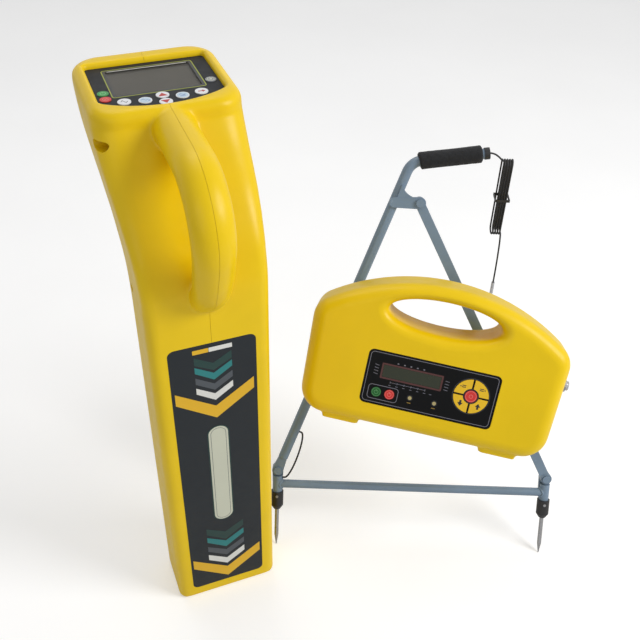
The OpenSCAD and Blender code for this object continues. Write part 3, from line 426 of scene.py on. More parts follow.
# The probe's frame: u runs along the base bar, y to the rear and w up the frame
SPIKE_GAP, FOOT_W, BASE_W, TUBE_R, BEND_R = 390, 119, 97, 7, 24
APEX_U, APEX_W = 169, 566
LEG = math.atan2(APEX_U, APEX_W - FOOT_W)
LEG_DIR = Vector((math.sin(LEG), 0, math.cos(LEG)))
LEG_SIDE = Vector((math.cos(LEG), 0, -math.sin(LEG)))
RISE = math.radians(8)
GRIP_DIR = Vector((math.cos(RISE), 0, math.sin(RISE)))
GRIP_AT = Vector((APEX_U, 0, APEX_W)) + GRIP_DIR * BEND_R * math.tan((math.pi / 2 - LEG - RISE) / 2)
GRIP_GAP, GRIP_L, GRIP_D, GLAND_GAP, GLAND_L = 2, 78, 24, 3, 7

# Cords: the routes repeat the part's source
CORD_D, HANK_L, TURNS, PITCH, HANK = 2.4, 118.0, 4.5, 3.4, Vector((294, 266, 447))
PLUG_TOP = Vector((311, 260, 304))
WIRE_D, WIRE_UP, WIRE_IN, WIRE_BOSS, WIRE_TEE = 2.6, 66, 5.5, 4.5, Vector((4.2, 0, 106.8))
END_STEPS, TURN_STEPS, WIRE_STEPS = 20, 48, 24


def hank_point(t):
    """A point on the hank: 24 steps to a turn, ten on each end round and two on each long run."""
    r, f = 3 * CORD_D, 24 * (t - math.floor(t))
    h = HANK_L / 2 - r

    def arc(k):
        a = math.radians(18 * k)
        return r * math.cos(a), r * math.sin(a)

    if f < 5:
        c, s = arc(f)
        y, z = s, h + c
    elif f < 7:
        y, z = r, h - h * (f - 5)
    elif f < 17:
        c, s = arc(f - 7)
        y, z = c, -h - s
    elif f < 19:
        y, z = -r, h * (f - 17) - h
    else:
        c, s = arc(f - 19)
        y, z = -c, h + s
    return Vector((HANK.x + PITCH * t, HANK.y + y, HANK.z + z))


def lead_points():
    tilt = turn(FRAME_LEAN, "X").to_3x3()
    way = tilt @ GRIP_DIR
    out = tilt @ (GRIP_AT + GRIP_DIR * (GRIP_GAP + GRIP_L + GLAND_GAP + GLAND_L))
    top, low = hank_point(0), hank_point(TURNS)
    lead_in = [out, out + way * 12, top - Vector((0, 12, 0)), top]
    tail = [low, low - Vector((0, 9, 4)), PLUG_TOP + Vector((0, 0, 26)), PLUG_TOP]
    run = [bezier(lead_in, i / END_STEPS) for i in range(END_STEPS)]
    run += [hank_point(i / TURN_STEPS) for i in range(int(TURNS * TURN_STEPS) + 1)]
    run += [bezier(tail, i / END_STEPS) for i in range(1, END_STEPS + 1)]
    return [ON_PLUMB @ (p * MM) for p in run]


def wire_points():
    at = Vector((0, 0, FOOT_W)) + WIRE_UP * LEG_DIR + LEG_SIDE * WIRE_IN
    out = at + LEG_SIDE * WIRE_BOSS
    near = WIRE_TEE + Vector((6, 0, 0))
    bow = [out, out + LEG_SIDE * 9, near + Vector((10, 0, 0)), near]
    run = [at] + [bezier(bow, i / WIRE_STEPS) for i in range(WIRE_STEPS + 1)] + [WIRE_TEE]
    return [ON_FRAME @ (p * MM) for p in run]


def length_of(points):
    return sum((b - a).length for a, b in zip(points, points[1:]))


path = lead_points()
lead = cord_curve("lead_cord", path, CORD_D, M["cord"])
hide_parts("lead")
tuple(path[0])
length_of(path)
path = wire_points()
wire = cord_curve("probe_wire", path, WIRE_D, M["cord"])
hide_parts("frame_wire")
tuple(path[0])
length_of(path)

# Foam sleeve on the probe's grip: eased ends, a slight waist and dents from the hand.
# It starts a little way back on the tube's bend.
SLEEVE_ROWS, SLEEVE_SIDES, SLEEVE_START, SLEEVE_SKIN, SLEEVE_WAIST, SLEEVE_EASE = 54, 56, -6.0, 0.3, 0.25, 2.6
SLEEVE_ENDS = ((1.2, 7.08), (0.25, 8.2))


def grip_sleeve():
    bm = bmesh.new()
    rings = []
    x = Vector((0, 1, 0))
    inward = Vector((math.sin(RISE), 0, -math.cos(RISE)))

    def ring(s, r):
        along = GRIP_GAP + s
        back = max(-along, 0) / BEND_R
        way = GRIP_DIR * math.cos(back) - inward * math.sin(back)
        bent = (inward * (1 - math.cos(back)) - GRIP_DIR * math.sin(back)) * BEND_R
        c = GRIP_AT + GRIP_DIR * max(along, 0) + bent
        y = way.cross(x)
        row = []
        for a in turns(SLEEVE_SIDES):
            dent = 0.16 * math.sin(3 * a + s * 0.31) * math.sin(s * 0.19) + 0.1 * math.sin(7 * a - s * 0.53)
            out = (x * math.cos(a) + y * math.sin(a)) * (r + dent * (r > 9))
            row.append(bm.verts.new(ON_FRAME @ ((c + out) * MM)))
        rings.append(row)

    for inset, r in SLEEVE_ENDS:
        ring(SLEEVE_START + inset, r)
    for i in range(SLEEVE_ROWS + 1):
        s = SLEEVE_START + (GRIP_L - SLEEVE_START) * i / SLEEVE_ROWS
        end = min(s - SLEEVE_START, GRIP_L - s, SLEEVE_EASE)
        ease = SLEEVE_EASE - math.sqrt(max(0.0, SLEEVE_EASE ** 2 - (SLEEVE_EASE - end) ** 2))
        waist = SLEEVE_WAIST * math.sin(math.pi * i / SLEEVE_ROWS)
        ring(min(max(s, SLEEVE_START + 0.05), GRIP_L - 0.05), GRIP_D / 2 - SLEEVE_SKIN - ease - waist)
    for inset, r in SLEEVE_ENDS[::-1]:
        ring(GRIP_L - inset, r)
    for a, b in zip(rings, rings[1:] + rings[:1]):
        band(bm, a, b)
    me = as_mesh("grip_sleeve", bm)
    smooth(me)
    o = put("grip_sleeve", me, M["foam"])
    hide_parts("frame_grip")


grip_sleeve()

# Weld beads where the probe's bar meets its two tees
WELD_R, WELD_BEAD, WELD_STEPS, WELD_RIPPLES = 6.3, 1.5, 72, 18


def weld(name, u, side):
    points = []
    for a in turns(WELD_STEPS):
        y = WELD_R * math.cos(a)
        at = Vector((u + side * math.sqrt(TUBE_R ** 2 - y * y), y, BASE_W + WELD_R * math.sin(a)))
        points.append(ON_FRAME @ (at * MM))
    c, line = round_curve(name, points, WELD_BEAD, 4)
    line.use_cyclic_u = True
    for p, a in zip(line.points, turns(WELD_STEPS)):
        p.radius = 1 + 0.1 * math.sin(WELD_RIPPLES * a)
    put(name, c, M["tube"])


weld("weld_left", 0, 1)
weld("weld_right", SPIKE_GAP, -1)

# A hollow fillet in the corner over the tab that carries the brace's pivot
TAB_TOP, TAB_Y, TAB_SINK = 519, (-9.0, -4.6), 2
FILLET_REACH, FILLET_RISE, FILLET_PULL, FILLET_STEPS = 24, 17, (11, 4.5), 14


def tab_fillet():
    leg = APEX_U / (APEX_W - FOOT_W)
    corner = Vector((leg * (TAB_TOP - FOOT_W), TAB_TOP))
    high = corner + Vector((leg, 1)) * FILLET_RISE
    low = corner + Vector((FILLET_REACH, 0))
    mid = corner + Vector(FILLET_PULL)
    edge = [high * (1 - t) ** 2 + mid * 2 * t * (1 - t) + low * t * t
            for t in [i / FILLET_STEPS for i in range(FILLET_STEPS + 1)]]
    edge += [low - Vector((0, TAB_SINK)), corner - Vector((0, TAB_SINK))]
    bm = bmesh.new()
    front, rear = [[bm.verts.new(ON_FRAME @ (Vector((u, y, w)) * MM)) for u, w in edge] for y in TAB_Y]
    bm.faces.new(front)
    bm.faces.new(rear[::-1])
    band(bm, front, rear)
    put("tab_fillet", as_mesh("tab_fillet", bm), M["tube"])


tab_fillet()


# Prints: thin plates that lie on a face; each shape is a list of points, or an outer and an inner list
def disc(cx, cy, r, n=36):
    return [(cx + r * math.cos(a), cy + r * math.sin(a)) for a in turns(n)]


def box(cx, cy, w, h, r, n=6):
    out = []
    for k, (sx, sy) in enumerate(((1, 1), (-1, 1), (-1, -1), (1, -1))):
        for i in range(n + 1):
            a = math.radians(90 * k + 90 * i / n)
            out.append((cx + sx * (w / 2 - r) + r * math.cos(a), cy + sy * (h / 2 - r) + r * math.sin(a)))
    return out


def frame_line(cx, cy, w, h, r, t):
    return [box(cx, cy, w, h, r), box(cx, cy, w - 2 * t, h - 2 * t, max(r - t, 0.1))]


def hoop(cx, cy, r, t):
    return [disc(cx, cy, r), disc(cx, cy, r - t)]


def bar(x0, y0, x1, y1, t):
    d = math.hypot(x1 - x0, y1 - y0)
    nx, ny = -(y1 - y0) / d * t / 2, (x1 - x0) / d * t / 2
    return [(x0 + nx, y0 + ny), (x0 - nx, y0 - ny), (x1 - nx, y1 - ny), (x1 + nx, y1 + ny)]


def chevron(w, arm_top, arm_low, tip_top, tip_low):
    return [(-w, arm_top), (-w, arm_low), (0, tip_low), (w, arm_low), (w, arm_top), (0, tip_top)]


def tri(cx, cy, w, h):
    return [(cx - w / 2, cy - h / 2), (cx + w / 2, cy - h / 2), (cx, cy + h / 2)]


def wave(cx, cy, w, h, t, n=20):
    mid = [(cx + w * (i / n - 0.5), cy + h / 2 * math.sin(2 * math.pi * i / n)) for i in range(n + 1)]
    return [(x, y + t / 2) for x, y in mid][::-1] + [(x, y - t / 2) for x, y in mid]


def prints(name, mat, place, shapes, body="set", low=-0.03, high=0.1):
    bm = bmesh.new()

    def row(points, z):
        return [bm.verts.new(place @ (Vector((x, y, z)) * MM)) for x, y in points]

    for shape in shapes:
        if isinstance(shape[0], list):
            rows = [row(shape[0], low), row(shape[0], high), row(shape[1], high), row(shape[1], low)]
            for a, b in zip(rows, rows[1:] + rows[:1]):
                band(bm, a, b)
        else:
            a, b = row(shape, low), row(shape, high)
            bm.faces.new(b)
            bm.faces.new(a[::-1])
            band(bm, a, b)
    put(name, as_mesh(name, bm), M[mat], body)


# Moulded shells: the source's levels in finer steps, run into one skin, eased where surfaces meet, then cut.
# Each row of the neck: share of its height, then of the growth at the front, at the rear and in width.
NECK = ((0, 0, 0, 0), (0.187, 0, 0.05, 0), (0.39, 0.09, 0.27, 0.12), (0.533, 0.23, 0.51, 0.33),
        (0.67, 0.44, 0.78, 0.58), (0.78, 0.66, 0.91, 0.78), (0.868, 0.82, 0.96, 0.9), (0.934, 0.92, 0.985, 0.96),
        (1, 1, 1, 1))
BLADE_H, HEAD_Z, RIM_Z, PANEL_LOW = 490, 672, 690, 681.6
BLADE_W, BLADE_CORNER, HEAD_WIDER, HEAD_CORNER, HEAD_FRONT, HEAD_REAR = 138, 12, 22, 18, 98, 172
RIM_R, LIP_R, BASE_R, WALL, SEAM, SHARP = 11, 5, 4, 3, 0.12, 38
HANDLE_TOP, HANDLE_REAR, HANDLE_BEND_Y, HANDLE_BEND_R, HANDLE_BEND = 669, 62, -20, 58, 109
HANDLE_HALF_W, HANDLE_HALF_D = [22.5, 22.5, 19.5], [18.5, 18.5, 16.0]
SHELL_SCREWS, SCREW_R, BOSS_WALL = ((59.5, 657, 72, 656), (18, 510, 18, 510), (184, 648, 184, 648)), 5, 3.0
VOXEL = 2.0


def through(xs, ys, x):
    """A smooth curve through the points that never swings past them."""
    h = [b - a for a, b in zip(xs, xs[1:])]
    d = [(b - a) / k for a, b, k in zip(ys, ys[1:], h)]
    m = [d[0]] + [0 if a * b <= 0 else 2 * a * b / (a + b) for a, b in zip(d, d[1:])] + [d[-1]]
    i = max([k for k in range(len(h)) if xs[k] <= x] or [0])
    t = (x - xs[i]) / h[i]
    return (ys[i] * (1 + 2 * t) * (1 - t) ** 2 + m[i] * h[i] * t * (1 - t) ** 2
            + ys[i + 1] * t * t * (3 - 2 * t) + m[i + 1] * h[i] * t * t * (t - 1))


def body_ring(z, inset=0.0, front=1.0, rear=1.0):
    s = min(max((z - BLADE_H) / (HEAD_Z - BLADE_H), 0), 1)
    f, r, w = (through([n[0] for n in NECK], [n[k] for n in NECK], s) for k in (1, 2, 3))
    y0 = -BLADE_HALF_D + HEAD_FRONT * f + inset * front
    y1 = BLADE_HALF_D + HEAD_REAR * r - inset * rear
    corner = BLADE_CORNER + HEAD_CORNER * w - 0.6 * inset
    out = box(0, (y0 + y1) / 2, BLADE_W + HEAD_WIDER * w - 2 * inset, y1 - y0, corner, 10)
    return [(x, y, z) for x, y in out]


def body_rings():
    rings = [[(x, y, BASE_R * (1 - math.cos(a))) for x, y, z in body_ring(0, BASE_R * (1 - math.sin(a)))]
             for a in quarter(6)]
    rings += [body_ring(BASE_R + (BLADE_H - BASE_R) * i / 8) for i in range(1, 9)]
    rings += [body_ring(BLADE_H + (HEAD_Z - BLADE_H) * i / 40) for i in range(1, 41)]
    rings += [[(x, y, RIM_Z - RIM_R * (1 - math.sin(a))) for x, y, z in body_ring(RIM_Z, RIM_R * (1 - math.cos(a)))]
              for a in quarter(6)]
    return rings


def handle_rings():
    """The handle: straight out of the head, round a bend, and hooked into the blade at its lower end."""
    across = Vector((1, 0, 0))
    line = [Vector((0, HANDLE_REAR + (HANDLE_BEND_Y - HANDLE_REAR) * i / 12, HANDLE_TOP)) for i in range(13)]
    for i in range(1, 25):
        a = math.radians(90 + HANDLE_BEND * i / 24)
        line.append(Vector((0, HANDLE_BEND_Y + HANDLE_BEND_R * math.cos(a),
                            HANDLE_TOP - HANDLE_BEND_R + HANDLE_BEND_R * math.sin(a))))
    hook = [line[-1], line[-1] + Vector((0, 14, -41)), Vector((0, -58, 532)), Vector((0, -18, 506))]
    line += [bezier(hook, i / 16) for i in range(1, 17)]
    rings = []
    for i, p in enumerate(line):
        t = i / (len(line) - 1)
        way = (line[min(i + 1, len(line) - 1)] - line[max(i - 1, 0)]).normalized()
        out = way.cross(across)
        w, d = through([0, 0.5, 1], HANDLE_HALF_W, t), through([0, 0.5, 1], HANDLE_HALF_D, t)
        rings.append([p + across * w * math.cos(a) + out * d * math.sin(a) for a in turns(48)])
    return rings


def panel_outline(grow):
    """The receiver's panel from above: two rear corners, two front corners and a bowed front edge."""
    half_w, bow, low_x, front = 66, 20, 54, 72
    r = (half_w ** 2 + bow ** 2) / (2 * bow)
    half = math.asin(low_x / r)

    def corner(cx, cy, c, a0, a1):
        angles = [math.radians(a0 + (a1 - a0) * i / 6) for i in range(7)]
        return [(cx + (c + grow) * math.cos(a), cy + (c + grow) * math.sin(a)) for a in angles]

    out = corner(62, 182, 4, 0, 90) + corner(-62, 182, 4, 90, 180) + corner(-low_x, 99, 12, 180, 243)
    out += [((r + grow) * math.sin(half * i / 12), front + r - (r + grow) * math.cos(half * i / 12))
            for i in range(-12, 13)]
    return out + corner(low_x, 99, 12, 297, 360)


def stadium(y0, z0, y1, z1, r, n=14):
    """A round, or a round drawn out between two centres, in the plane of y and z."""
    a0 = math.atan2(z1 - z0, y1 - y0) + math.pi / 2
    near = [a0 + math.pi * i / n for i in range(n + 1)]
    out = [(y0 + r * math.cos(a), z0 + r * math.sin(a)) for a in near]
    return out + [(y1 - r * math.cos(a), z1 - r * math.sin(a)) for a in near]


def lofted(name, *stacks):
    """A loose object with one closed skin for each stack of rings."""
    bm = bmesh.new()
    for rings in stacks:
        rows = [[bm.verts.new(Vector(p) * MM) for p in r] for r in rings]
        for a, b in zip(rows, rows[1:]):
            band(bm, a, b)
        bm.faces.new(rows[0][::-1])
        bm.faces.new(rows[-1])
    o = bpy.data.objects.new(name, as_mesh(name, bm))
    bpy.context.scene.collection.objects.link(o)
    return o


def cut(o, tool):
    b = o.modifiers.new("cut", "BOOLEAN")
    b.operation = "DIFFERENCE"
    b.solver = "EXACT"
    b.object = tool


def settle(o, *tools):
    """Applies an object's modifiers and clears the tools they used."""
    bpy.context.view_layer.update()
    me = bpy.data.meshes.new_from_object(o.evaluated_get(bpy.context.evaluated_depsgraph_get()))
    o.modifiers.clear()
    o.data = me
    for t in tools:
        bpy.data.objects.remove(t)


def run_together(o, rounds):
    m = o.modifiers.new("skin", "REMESH")
    m.mode = "VOXEL"
    m.voxel_size = VOXEL * MM
    m = o.modifiers.new("ease", "SMOOTH")
    m.factor = 0.5
    m.iterations = rounds


def shell_half(name, solid, away, place, node):
    """The part of a moulded solid on one side of its parting plane, closed along the seam."""
    bm = bmesh.new()
    bm.from_mesh(solid.data)
    bmesh.ops.bisect_plane(bm, geom=bm.verts[:] + bm.edges[:] + bm.faces[:], dist=1e-7, plane_co=-away * SEAM * MM,
                           plane_no=away, clear_outer=True)
    rim = [e for e in bm.edges if e.is_boundary]
    bmesh.ops.triangle_fill(bm, use_beauty=True, edges=rim)
    bm.transform(place)
    me = as_mesh(name, bm)
    smooth(me, SHARP)
    o = put(name, me, M["shell"])
    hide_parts(node)


def bores(x0, x1, grow):
    return [[[(x, y, z) for y, z in stadium(*s, SCREW_R + grow)] for x in (x0, x1)] for s in SHELL_SCREWS]


def receiver_shells():
    solid = lofted("receiver_solid", body_rings(), handle_rings())
    run_together(solid, 9)
    levels = [WALL + 1] + [70 * i for i in range(1, 7)] + [BLADE_H + 7 * i for i in range(26)] + [HEAD_Z, 679.1]
    room = lofted("room", [body_ring(z, WALL, 1.4, 2.4) for z in levels])
    bosses = lofted("bosses", *bores(-90, 90, BOSS_WALL))
    cut(room, bosses)
    settle(room, bosses)
    steps = [(-1.2, 677.5), (-1.2, PANEL_LOW), (0.25, PANEL_LOW + 0.01)]
    steps += [(0.25 + LIP_R * (1 - math.cos(a)), 684.6 + 5.4 * math.sin(a)) for a in quarter(6)] + [(6.2, 692)]
    seat = [[(x, y, z) for x, y in panel_outline(g)] for g, z in steps]
    label = [[(x, y, z) for x, z in box(0, 239, 100.5, 440.5, 8.2, 8)] for y in (-42, -39.2)]
    tools = lofted("tools", seat, label, *bores(-90, -16, 0.0))
    cut(solid, room)
    cut(solid, tools)
    settle(solid, room, tools)
    shell_half("receiver_half_left", solid, Vector((1, 0, 0)), Matrix(), "receiver_left_shell")
    shell_half("receiver_half_right", solid, Vector((-1, 0, 0)), Matrix(), "receiver_right_shell")
    bpy.data.objects.remove(solid)


receiver_shells()

# The transmitter's case, seen from the front: an arch between two shoulders over two lower corners
CASE_EDGE, MOUTH_R = 18, 14
ARCH_R, ARCH_Z = 279, -71
SHOULDER_X, SHOULDER_R, CORNER_X, CORNER_Z, CORNER_R = 139, 30, 132, 40, 34
SHOULDER = math.asin(SHOULDER_X / (ARCH_R - SHOULDER_R))
SLOT_Z, SLOT_HALF_W, SLOT_HALF_H = 166, 74, 22
FOOT_X, FOOT_WIDE, FOOT_DEEP, FOOT_TOP = 106.5, 49, 56, 13
CASE_SCREW_X, CASE_SCREW_Z, CASE_BOSS_R = (-143, 143), (44, 118), 8
JACK_Y, JACK_Z, JACK_BORE = -12, 111, 6.1


def case_points(grow):
    def arc(cx, cz, r, a0, a1, n=10):
        angles = [a0 + (a1 - a0) * i / n for i in range(n + 1)]
        return [(cx + r * math.cos(a), cz + r * math.sin(a)) for a in angles]

    q, up = math.pi / 2, math.pi / 2 - SHOULDER
    sz = ARCH_Z + (ARCH_R - SHOULDER_R) * math.cos(SHOULDER)
    shoulder, low = SHOULDER_R + grow, CORNER_R + grow
    arch = [((ARCH_R + grow) * math.sin(a), ARCH_Z + (ARCH_R + grow) * math.cos(a))
            for a in [-SHOULDER * i / 16 for i in range(-15, 16)]]
    return (arc(CORNER_X, CORNER_Z, low, -q, 0) + arc(SHOULDER_X, sz, shoulder, 0, up) + arch
            + arc(-SHOULDER_X, sz, shoulder, 2 * q - up, 2 * q) + arc(-CORNER_X, CORNER_Z, low, 2 * q, 3 * q))


def both_ways(half, ring):
    """Rings from the rear face to the front one, from steps of depth and growth on one side."""
    return [ring(y, g) for y, g in half] + [ring(-y, g) for y, g in half[::-1]]


def case_ring(y, grow):
    return [(x, y, z) for x, z in case_points(grow)]


def slot_ring(y, grow):
    return [((SLOT_HALF_W + grow) * math.sin(a), y, SLOT_Z + (SLOT_HALF_H + grow) * math.cos(a)) for a in turns(72)]


def slot(grow):
    mouth = [(CASE_HALF_D + 2, MOUTH_R)]
    mouth += [(CASE_HALF_D - MOUTH_R * (1 - math.cos(a)), MOUTH_R * (1 - math.sin(a))) for a in quarter(8)]
    return lofted("slot", both_ways([(y, g + grow) for y, g in mouth], slot_ring))


def case_rounds(r, y0, y1):
    """Cylinders at the four screws of the case."""
    return [[[(x + r * math.cos(a), y, z + r * math.sin(a)) for a in turns(28)] for y in (y0, y1)]
            for x in CASE_SCREW_X for z in CASE_SCREW_Z]


def case_shells():
    edge = [(CASE_HALF_D - CASE_EDGE * (1 - math.cos(a)), -CASE_EDGE * (1 - math.sin(a))) for a in quarter(9)]
    solid = lofted("case_solid", both_ways(edge, case_ring))
    way = slot(0)
    cut(solid, way)
    settle(solid, way)
    feet = lofted("feet", *[[[(x, y, z) for x, y in box(s * FOOT_X, 0, FOOT_WIDE, FOOT_DEEP, 3, 4)]
                             for z in (0, FOOT_TOP)] for s in (-1, 1)])
    bm = bmesh.new()
    bm.from_mesh(solid.data)
    bm.from_mesh(feet.data)
    bm.to_mesh(solid.data)
    bm.free()
    bpy.data.objects.remove(feet)
    run_together(solid, 6)
    deep = [(CASE_HALF_D - WALL, -CASE_EDGE), (CASE_HALF_D - CASE_EDGE, -WALL)]
    room = lofted("room", both_ways(deep, case_ring))
    way = slot(WALL)
    bosses = lofted("bosses", *case_rounds(CASE_BOSS_R, -50, 50))
    cut(room, way)
    cut(room, bosses)
    settle(room, way, bosses)
    seat = [[(x, y, z) for x, z in box(0, TX_MID, 174.4, 74.4, 7.2)] for y in (-CASE_HALF_D - 2, -CASE_HALF_D + 3.4)]
    jack = [[(x, y, z) for y, z in stadium(JACK_Y, JACK_Z, JACK_Y, JACK_Z, JACK_BORE)] for x in (155, 180)]
    tools = lofted("tools", seat, jack, *case_rounds(SCREW_R, 14, 44))
    cut(solid, room)
    cut(solid, tools)
    settle(solid, room, tools)
    shell_half("case_half_front", solid, Vector((0, 1, 0)), ON_CASE, "transmitter_front_shell")
    shell_half("case_half_rear", solid, Vector((0, -1, 0)), ON_CASE, "transmitter_rear_shell")
    bpy.data.objects.remove(solid)


case_shells()


# The transmitter's output socket: a hexagon nut and a turned collar round the jack
def ringed(name, mat, place, profile, sides, flat=False):
    """A turned piece about its x axis, from pairs of place and radius that go right round its section."""
    bm = bmesh.new()
    rows = [[bm.verts.new(place @ (Vector((x, r * math.cos(a), r * math.sin(a))) * MM)) for a in turns(sides)]
            for x, r in profile]
    for a, b in zip(rows, rows[1:] + rows[:1]):
        band(bm, a, b)
    me = as_mesh(name, bm)
    if not flat:
        smooth(me, SHARP)
    put(name, me, mat)


NUT = [(0, 6.3), (0, 8.2), (0.4, 8.6), (2.6, 8.6), (3.0, 8.2), (3.0, 6.3)]
COLLAR = [(2.6, 3.6), (2.6, 6.2), (4.2, 6.2), (4.5, 5.7), (4.8, 6.2), (6.0, 6.2), (6.6, 5.6), (6.6, 3.6)]
JACK = ON_CASE @ move(168.6, JACK_Y, JACK_Z)
ringed("socket_nut", M["steel"], JACK, NUT, 6, True)
ringed("socket_collar", M["chrome"], JACK, COLLAR, 40)

# The blade's label: two fans of stripes and a bare pill between them
LABEL = {
    "ink_green": [(21.5, 442.5, 431.3, 429.6, 418.9), (25, 141, 128.6, 125.5, 109.5)],
    "ink_teal": [(21.5, 428.3, 419.2, 414.6, 404.3), (25, 122.3, 112, 105.8, 93.2)],
    "ink_grey": [(21.5, 412.3, 402.8, 398.1, 388.2), (25, 102.5, 92.1, 86.3, 74.5)],
    "white_ink_and_painted_reflection": [(21.5, 396.7, 387.5, 382.5, 372.2), (25, 84.8, 73.5, 67.5, 55.3)],
    "ink_yellow": [(46.3, 394.6, 377, 362.6, 343.1), (46.8, 81.2, 63, 47.5, 26.8)],
}
STRIP_Y, PILL_Y = 450, 241
for colour, rows in LABEL.items():
    prints("label_" + colour, colour, ON_LABEL, [chevron(*r) for r in rows])
prints("label_strip_amber", "ink_yellow", ON_LABEL, [box(-13.5, STRIP_Y, 18, 6, 0.4)])
prints("label_strip_pale", "white_ink_and_painted_reflection", ON_LABEL, [box(9.2, STRIP_Y, 26.6, 6, 0.4)])
prints("label_pill", "ink_pale", ON_LABEL, [box(0, PILL_Y, 24, 174, 11.9, 12)], high=0.3)
prints("label_pill_edge", "ink_green", ON_LABEL, [frame_line(0, PILL_Y, 27, 177, 13.4, 1.4)],
       high=0.2)
prints("label_pill_line", "ink_grey", ON_LABEL, [frame_line(0, PILL_Y, 19, 169, 9.4, 0.5)],
       low=0.28, high=0.36)

# The receiver's panel: a line round the window, a painted reflection as a white bar along the window's rear edge,
# and a sign on each key
WIN_Y, WIN_REFLECTION_OFFSET = 143, 30.2
prints("window_line", "ink_lime", ON_PANEL, [frame_line(0, WIN_Y, 100.4, 69.4, 3.4, 1.1)])
prints("window_mask", "ink_dark", ON_PANEL, [frame_line(0, WIN_Y, 98.2, 67.2, 2.4, 3.2)], low=0.02, high=0.12)
# A painted reflection: a thin white bar along the window's rear edge that stands for the glint of its bevel
prints("window_painted_reflection", "white_ink_and_painted_reflection", ON_PANEL, [bar(-44, WIN_Y + WIN_REFLECTION_OFFSET, 44, WIN_Y + WIN_REFLECTION_OFFSET, 0.9)],
       low=0.1, high=0.22)
KEYS = {"key_on": (-57.5, 121), "key_off": (-57.5, 107), "key_function": (-40.5, 96),
        "key_mode_left": (-19.5, 93), "key_up": (0, 100), "key_down": (0, 84), "key_mode_right": (19.5, 93),
        "key_direction": (40.5, 96), "key_light": (57.5, 121)}
UP_SIGN = tri(0, 0.4, 10, 7.4)
RAYS = [bar(4.3 * math.cos(a), 4.3 * math.sin(a), 5.2 * math.cos(a), 5.2 * math.sin(a), 0.6)
        for a in [i * math.pi / 4 for i in range(8)]]
MODE_DISC = ("ink_sky", [disc(0, 0, 5.9)])
SIGNS = {
    "key_on": [("ink_lightgreen", [hoop(0, 0, 3.2, 0.7), bar(0, 0.8, 0, 4, 0.8)])],
    "key_off": [("ink_rose", [hoop(0, 0, 3.2, 0.7), bar(-2, -2, 2, 2, 0.8)])],
    "key_function": [("ink_dark", [wave(0, 0, 7, 4.4, 1.0)])],
    "key_mode_left": [MODE_DISC, ("ink_blue", [wave(-0.6, 0.8, 6.4, 3, 0.8), disc(3.6, -1.6, 0.9, 16)])],
    "key_up": [("ink_red", [UP_SIGN])],
    "key_down": [("ink_red", [[(-x, -y) for x, y in UP_SIGN]])],
    "key_mode_right": [MODE_DISC, ("ink_blue", [wave(0, 1.2, 6.4, 2.4, 0.8), bar(-3, -2, 3, -2, 0.8)])],
    "key_direction": [("ink_red", [bar(-3.6, 0, 1.2, 0, 1.5), [(0.8, -2.6), (4.2, 0), (0.8, 2.6)]])],
    "key_light": [("ink_pale", [hoop(0, 0, 3.9, 0.7), disc(0, 0, 1.5, 20)] + RAYS)],
}
for key, layers in SIGNS.items():
    at = move(*KEYS[key], PANEL_TOP + KEY_RISE)
    for i, (colour, shapes) in enumerate(layers):
        prints("%s_sign%d" % (key, i), colour, at, shapes, body=key + "_body",
               low=-0.03 + 0.06 * i, high=0.08 + 0.06 * i)

# The transmitter's panel: lines, ticks and plain dashes, and a sign on each key
TX_LINES = [frame_line(0, 0, 168.4, 68.4, 5, 0.8), frame_line(-58.5, -19.8, 40, 20, 4.5, 0.8)]
prints("face_lines", "ink_line", ON_TX, TX_LINES)
prints("face_glass_edge", "ink_maroon", ON_TX, [frame_line(-26.5, 10.6, 81, 21.4, 1.2, 2.3)])
TICKS_X, SCALE_Z, DASH_Z = (-52, -42.8, -33.6, -24.4, -15.2, -6), -3.4, -7.4
marks = [bar(-76, z, -70.5, z - 0.8, 0.7) for z in (17.2, 13.2, 9.2, 5.2)]
marks += [bar(17, z, 22.5, z - 0.6, 0.7) for z in (15.2, 11.2, 7.2, 3.2)]
marks += [bar(x, 23.6, x + 2.2, 23.6, 1.6) for x in (-48, -39.5, -31, -22.5, -14)]
marks += [bar(TICKS_X[0], SCALE_Z, TICKS_X[-1], SCALE_Z, 0.5)] + [bar(x, -4.8, x, -2, 0.7) for x in TICKS_X]
marks += [bar(x - 1.6, DASH_Z, x + 1.6, DASH_Z, 0.7) for x in TICKS_X + (2,)]
prints("face_marks", "ink_line", ON_TX, marks)
LEDS = ((-22.7, -18), (9.6, -18))
prints("face_led_rings", "ink_dark", ON_TX, [hoop(x, z, 3.9, 0.9) for x, z in LEDS])
prints("face_led_marks", "ink_amber", ON_TX, [bar(x - 2.4, z - 7, x + 2.4, z - 7, 1.0) for x, z in LEDS])
PAD, PAD_ARM = (53.3, 2.5), 16.4
prints("face_pad_ring", "ink_dark", ON_TX, [hoop(*PAD, 24.6, 1.4), hoop(*PAD, 10.2, 1.6)])
TX_KEYS_Z, POWER_SIGN = -19.6, [hoop(0, 0, 5.7, 0.5), hoop(0, 0, 2.8, 0.6), bar(0, 0.8, 0, 3.6, 0.7)]
for key, x, colour in (("transmitter_key_on", -67.2, "ink_moss"), ("transmitter_key_off", -49.7, "ink_rose")):
    prints(key + "_sign", colour, ON_TX @ move(x, TX_KEYS_Z, KEY_RISE), POWER_SIGN, body=key + "_body")
at = ON_TX @ move(*PAD, KEY_RISE)
prints("pad_centre_sign", "ink_rose", at, [hoop(0, 0, 7.1, 0.6), hoop(0, 0, 2.6, 0.6)], body="pad_centre_body")
ARMS = {"pad_right": 45, "pad_left": 135, "pad_down": 225, "pad_up": 315}
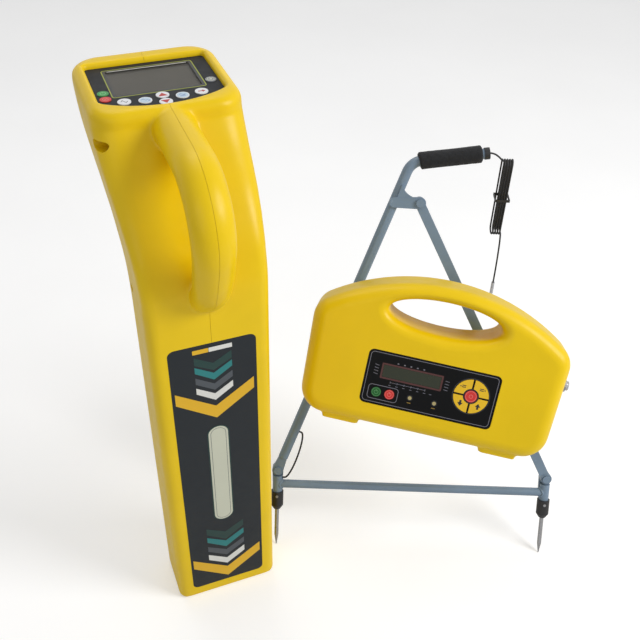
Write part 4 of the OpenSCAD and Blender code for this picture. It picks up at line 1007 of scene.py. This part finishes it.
for key, deg in ARMS.items():
    cx, cy = PAD_ARM * math.cos(math.radians(deg)), PAD_ARM * math.sin(math.radians(deg))
    if key in ("pad_up", "pad_down"):
        up = 1 if key == "pad_up" else -1
        signs = [[(cx + up * (x - cx), cy + up * (y - cy)) for x, y in shape]
                 for shape in (tri(cx, cy + 1.7, 7.2, 4.6), bar(cx, cy - 4, cx, cy - 0.4, 2.6))]
    else:
        side = 1 if key == "pad_right" else -1
        signs = [bar(cx - 2.6, cy + 1.2, cx + 2.6, cy + 1.2, 1.0), bar(cx - 2.6, cy - 1.0, cx + 2.6, cy - 1.0, 1.0),
                 disc(cx + side * 4.2, cy, 0.8, 16)]
    prints(key + "_sign", "ink_dark", at, signs, body=key + "_body")

# Stage: a pale floor, a white world that lights less than it shows, and three soft lamps
FLOOR_SIZE, FLOOR_GLOW, WORLD_LIGHT, WORLD_SEEN = 12, 0.32, 0.42, 0.95


def stage():
    bpy.ops.mesh.primitive_plane_add(size=FLOOR_SIZE)
    floor = bpy.context.object
    floor.name = "floor"
    k = Mat("floor_pale")
    k.give("Base Color", k.ramp(k.noise(3, 3), [(0.3, (0.80, 0.80, 0.80, 1)), (0.7, (0.83, 0.83, 0.83, 1))]))
    k.bsdf.inputs["Roughness"].default_value = 0.9
    k.bsdf.inputs["Specular IOR Level"].default_value = 0.1
    rays = k.add("ShaderNodeLightPath")
    glow = k.add("ShaderNodeMath", operation="MULTIPLY")
    k.link(rays.outputs["Is Camera Ray"], glow.inputs[0])
    glow.inputs[1].default_value = FLOOR_GLOW
    k.bsdf.inputs["Emission Color"].default_value = (1, 1, 1, 1)
    k.give("Emission Strength", glow.outputs[0])
    floor.data.materials.append(k.m)

    world = bpy.data.worlds.new("world")
    bpy.context.scene.world = world
    world.use_nodes = True
    nt = world.node_tree
    rays = nt.nodes.new("ShaderNodeLightPath")
    seen = rays.outputs["Is Camera Ray"]
    for kind in ("Is Glossy Ray", "Is Transmission Ray"):
        either = nt.nodes.new("ShaderNodeMath")
        either.operation = "MAXIMUM"
        nt.links.new(seen, either.inputs[0])
        nt.links.new(rays.outputs[kind], either.inputs[1])
        seen = either.outputs[0]
    strength = nt.nodes.new("ShaderNodeMapRange")
    strength.inputs["To Min"].default_value = WORLD_LIGHT
    strength.inputs["To Max"].default_value = WORLD_SEEN
    nt.links.new(seen, strength.inputs["Value"])
    nt.links.new(strength.outputs["Result"], nt.nodes["Background"].inputs["Strength"])
    nt.nodes["Background"].inputs["Color"].default_value = (1, 1, 1, 1)


def lamp(name, at, aim, size, power):
    d = bpy.data.lights.new(name, "AREA")
    d.shape = "DISK"
    d.size = size
    d.energy = power
    o = bpy.data.objects.new(name, d)
    o.location = at
    o.rotation_euler = (Vector(aim) - Vector(at)).to_track_quat("-Z", "Y").to_euler()
    bpy.context.scene.collection.objects.link(o)


stage()
lamp("key", (1.8, -1.3, 1.8), (0.1, 0.05, 0.35), 1.2, 40)
lamp("fill", (-1.7, -1.5, 1.5), (0.05, 0.0, 0.35), 1.8, 5)
lamp("top", (0.0, 1.0, 2.2), (0.1, 0.1, 0.4), 1.2, 8)
bpy.context.scene.view_settings.view_transform = "Standard"
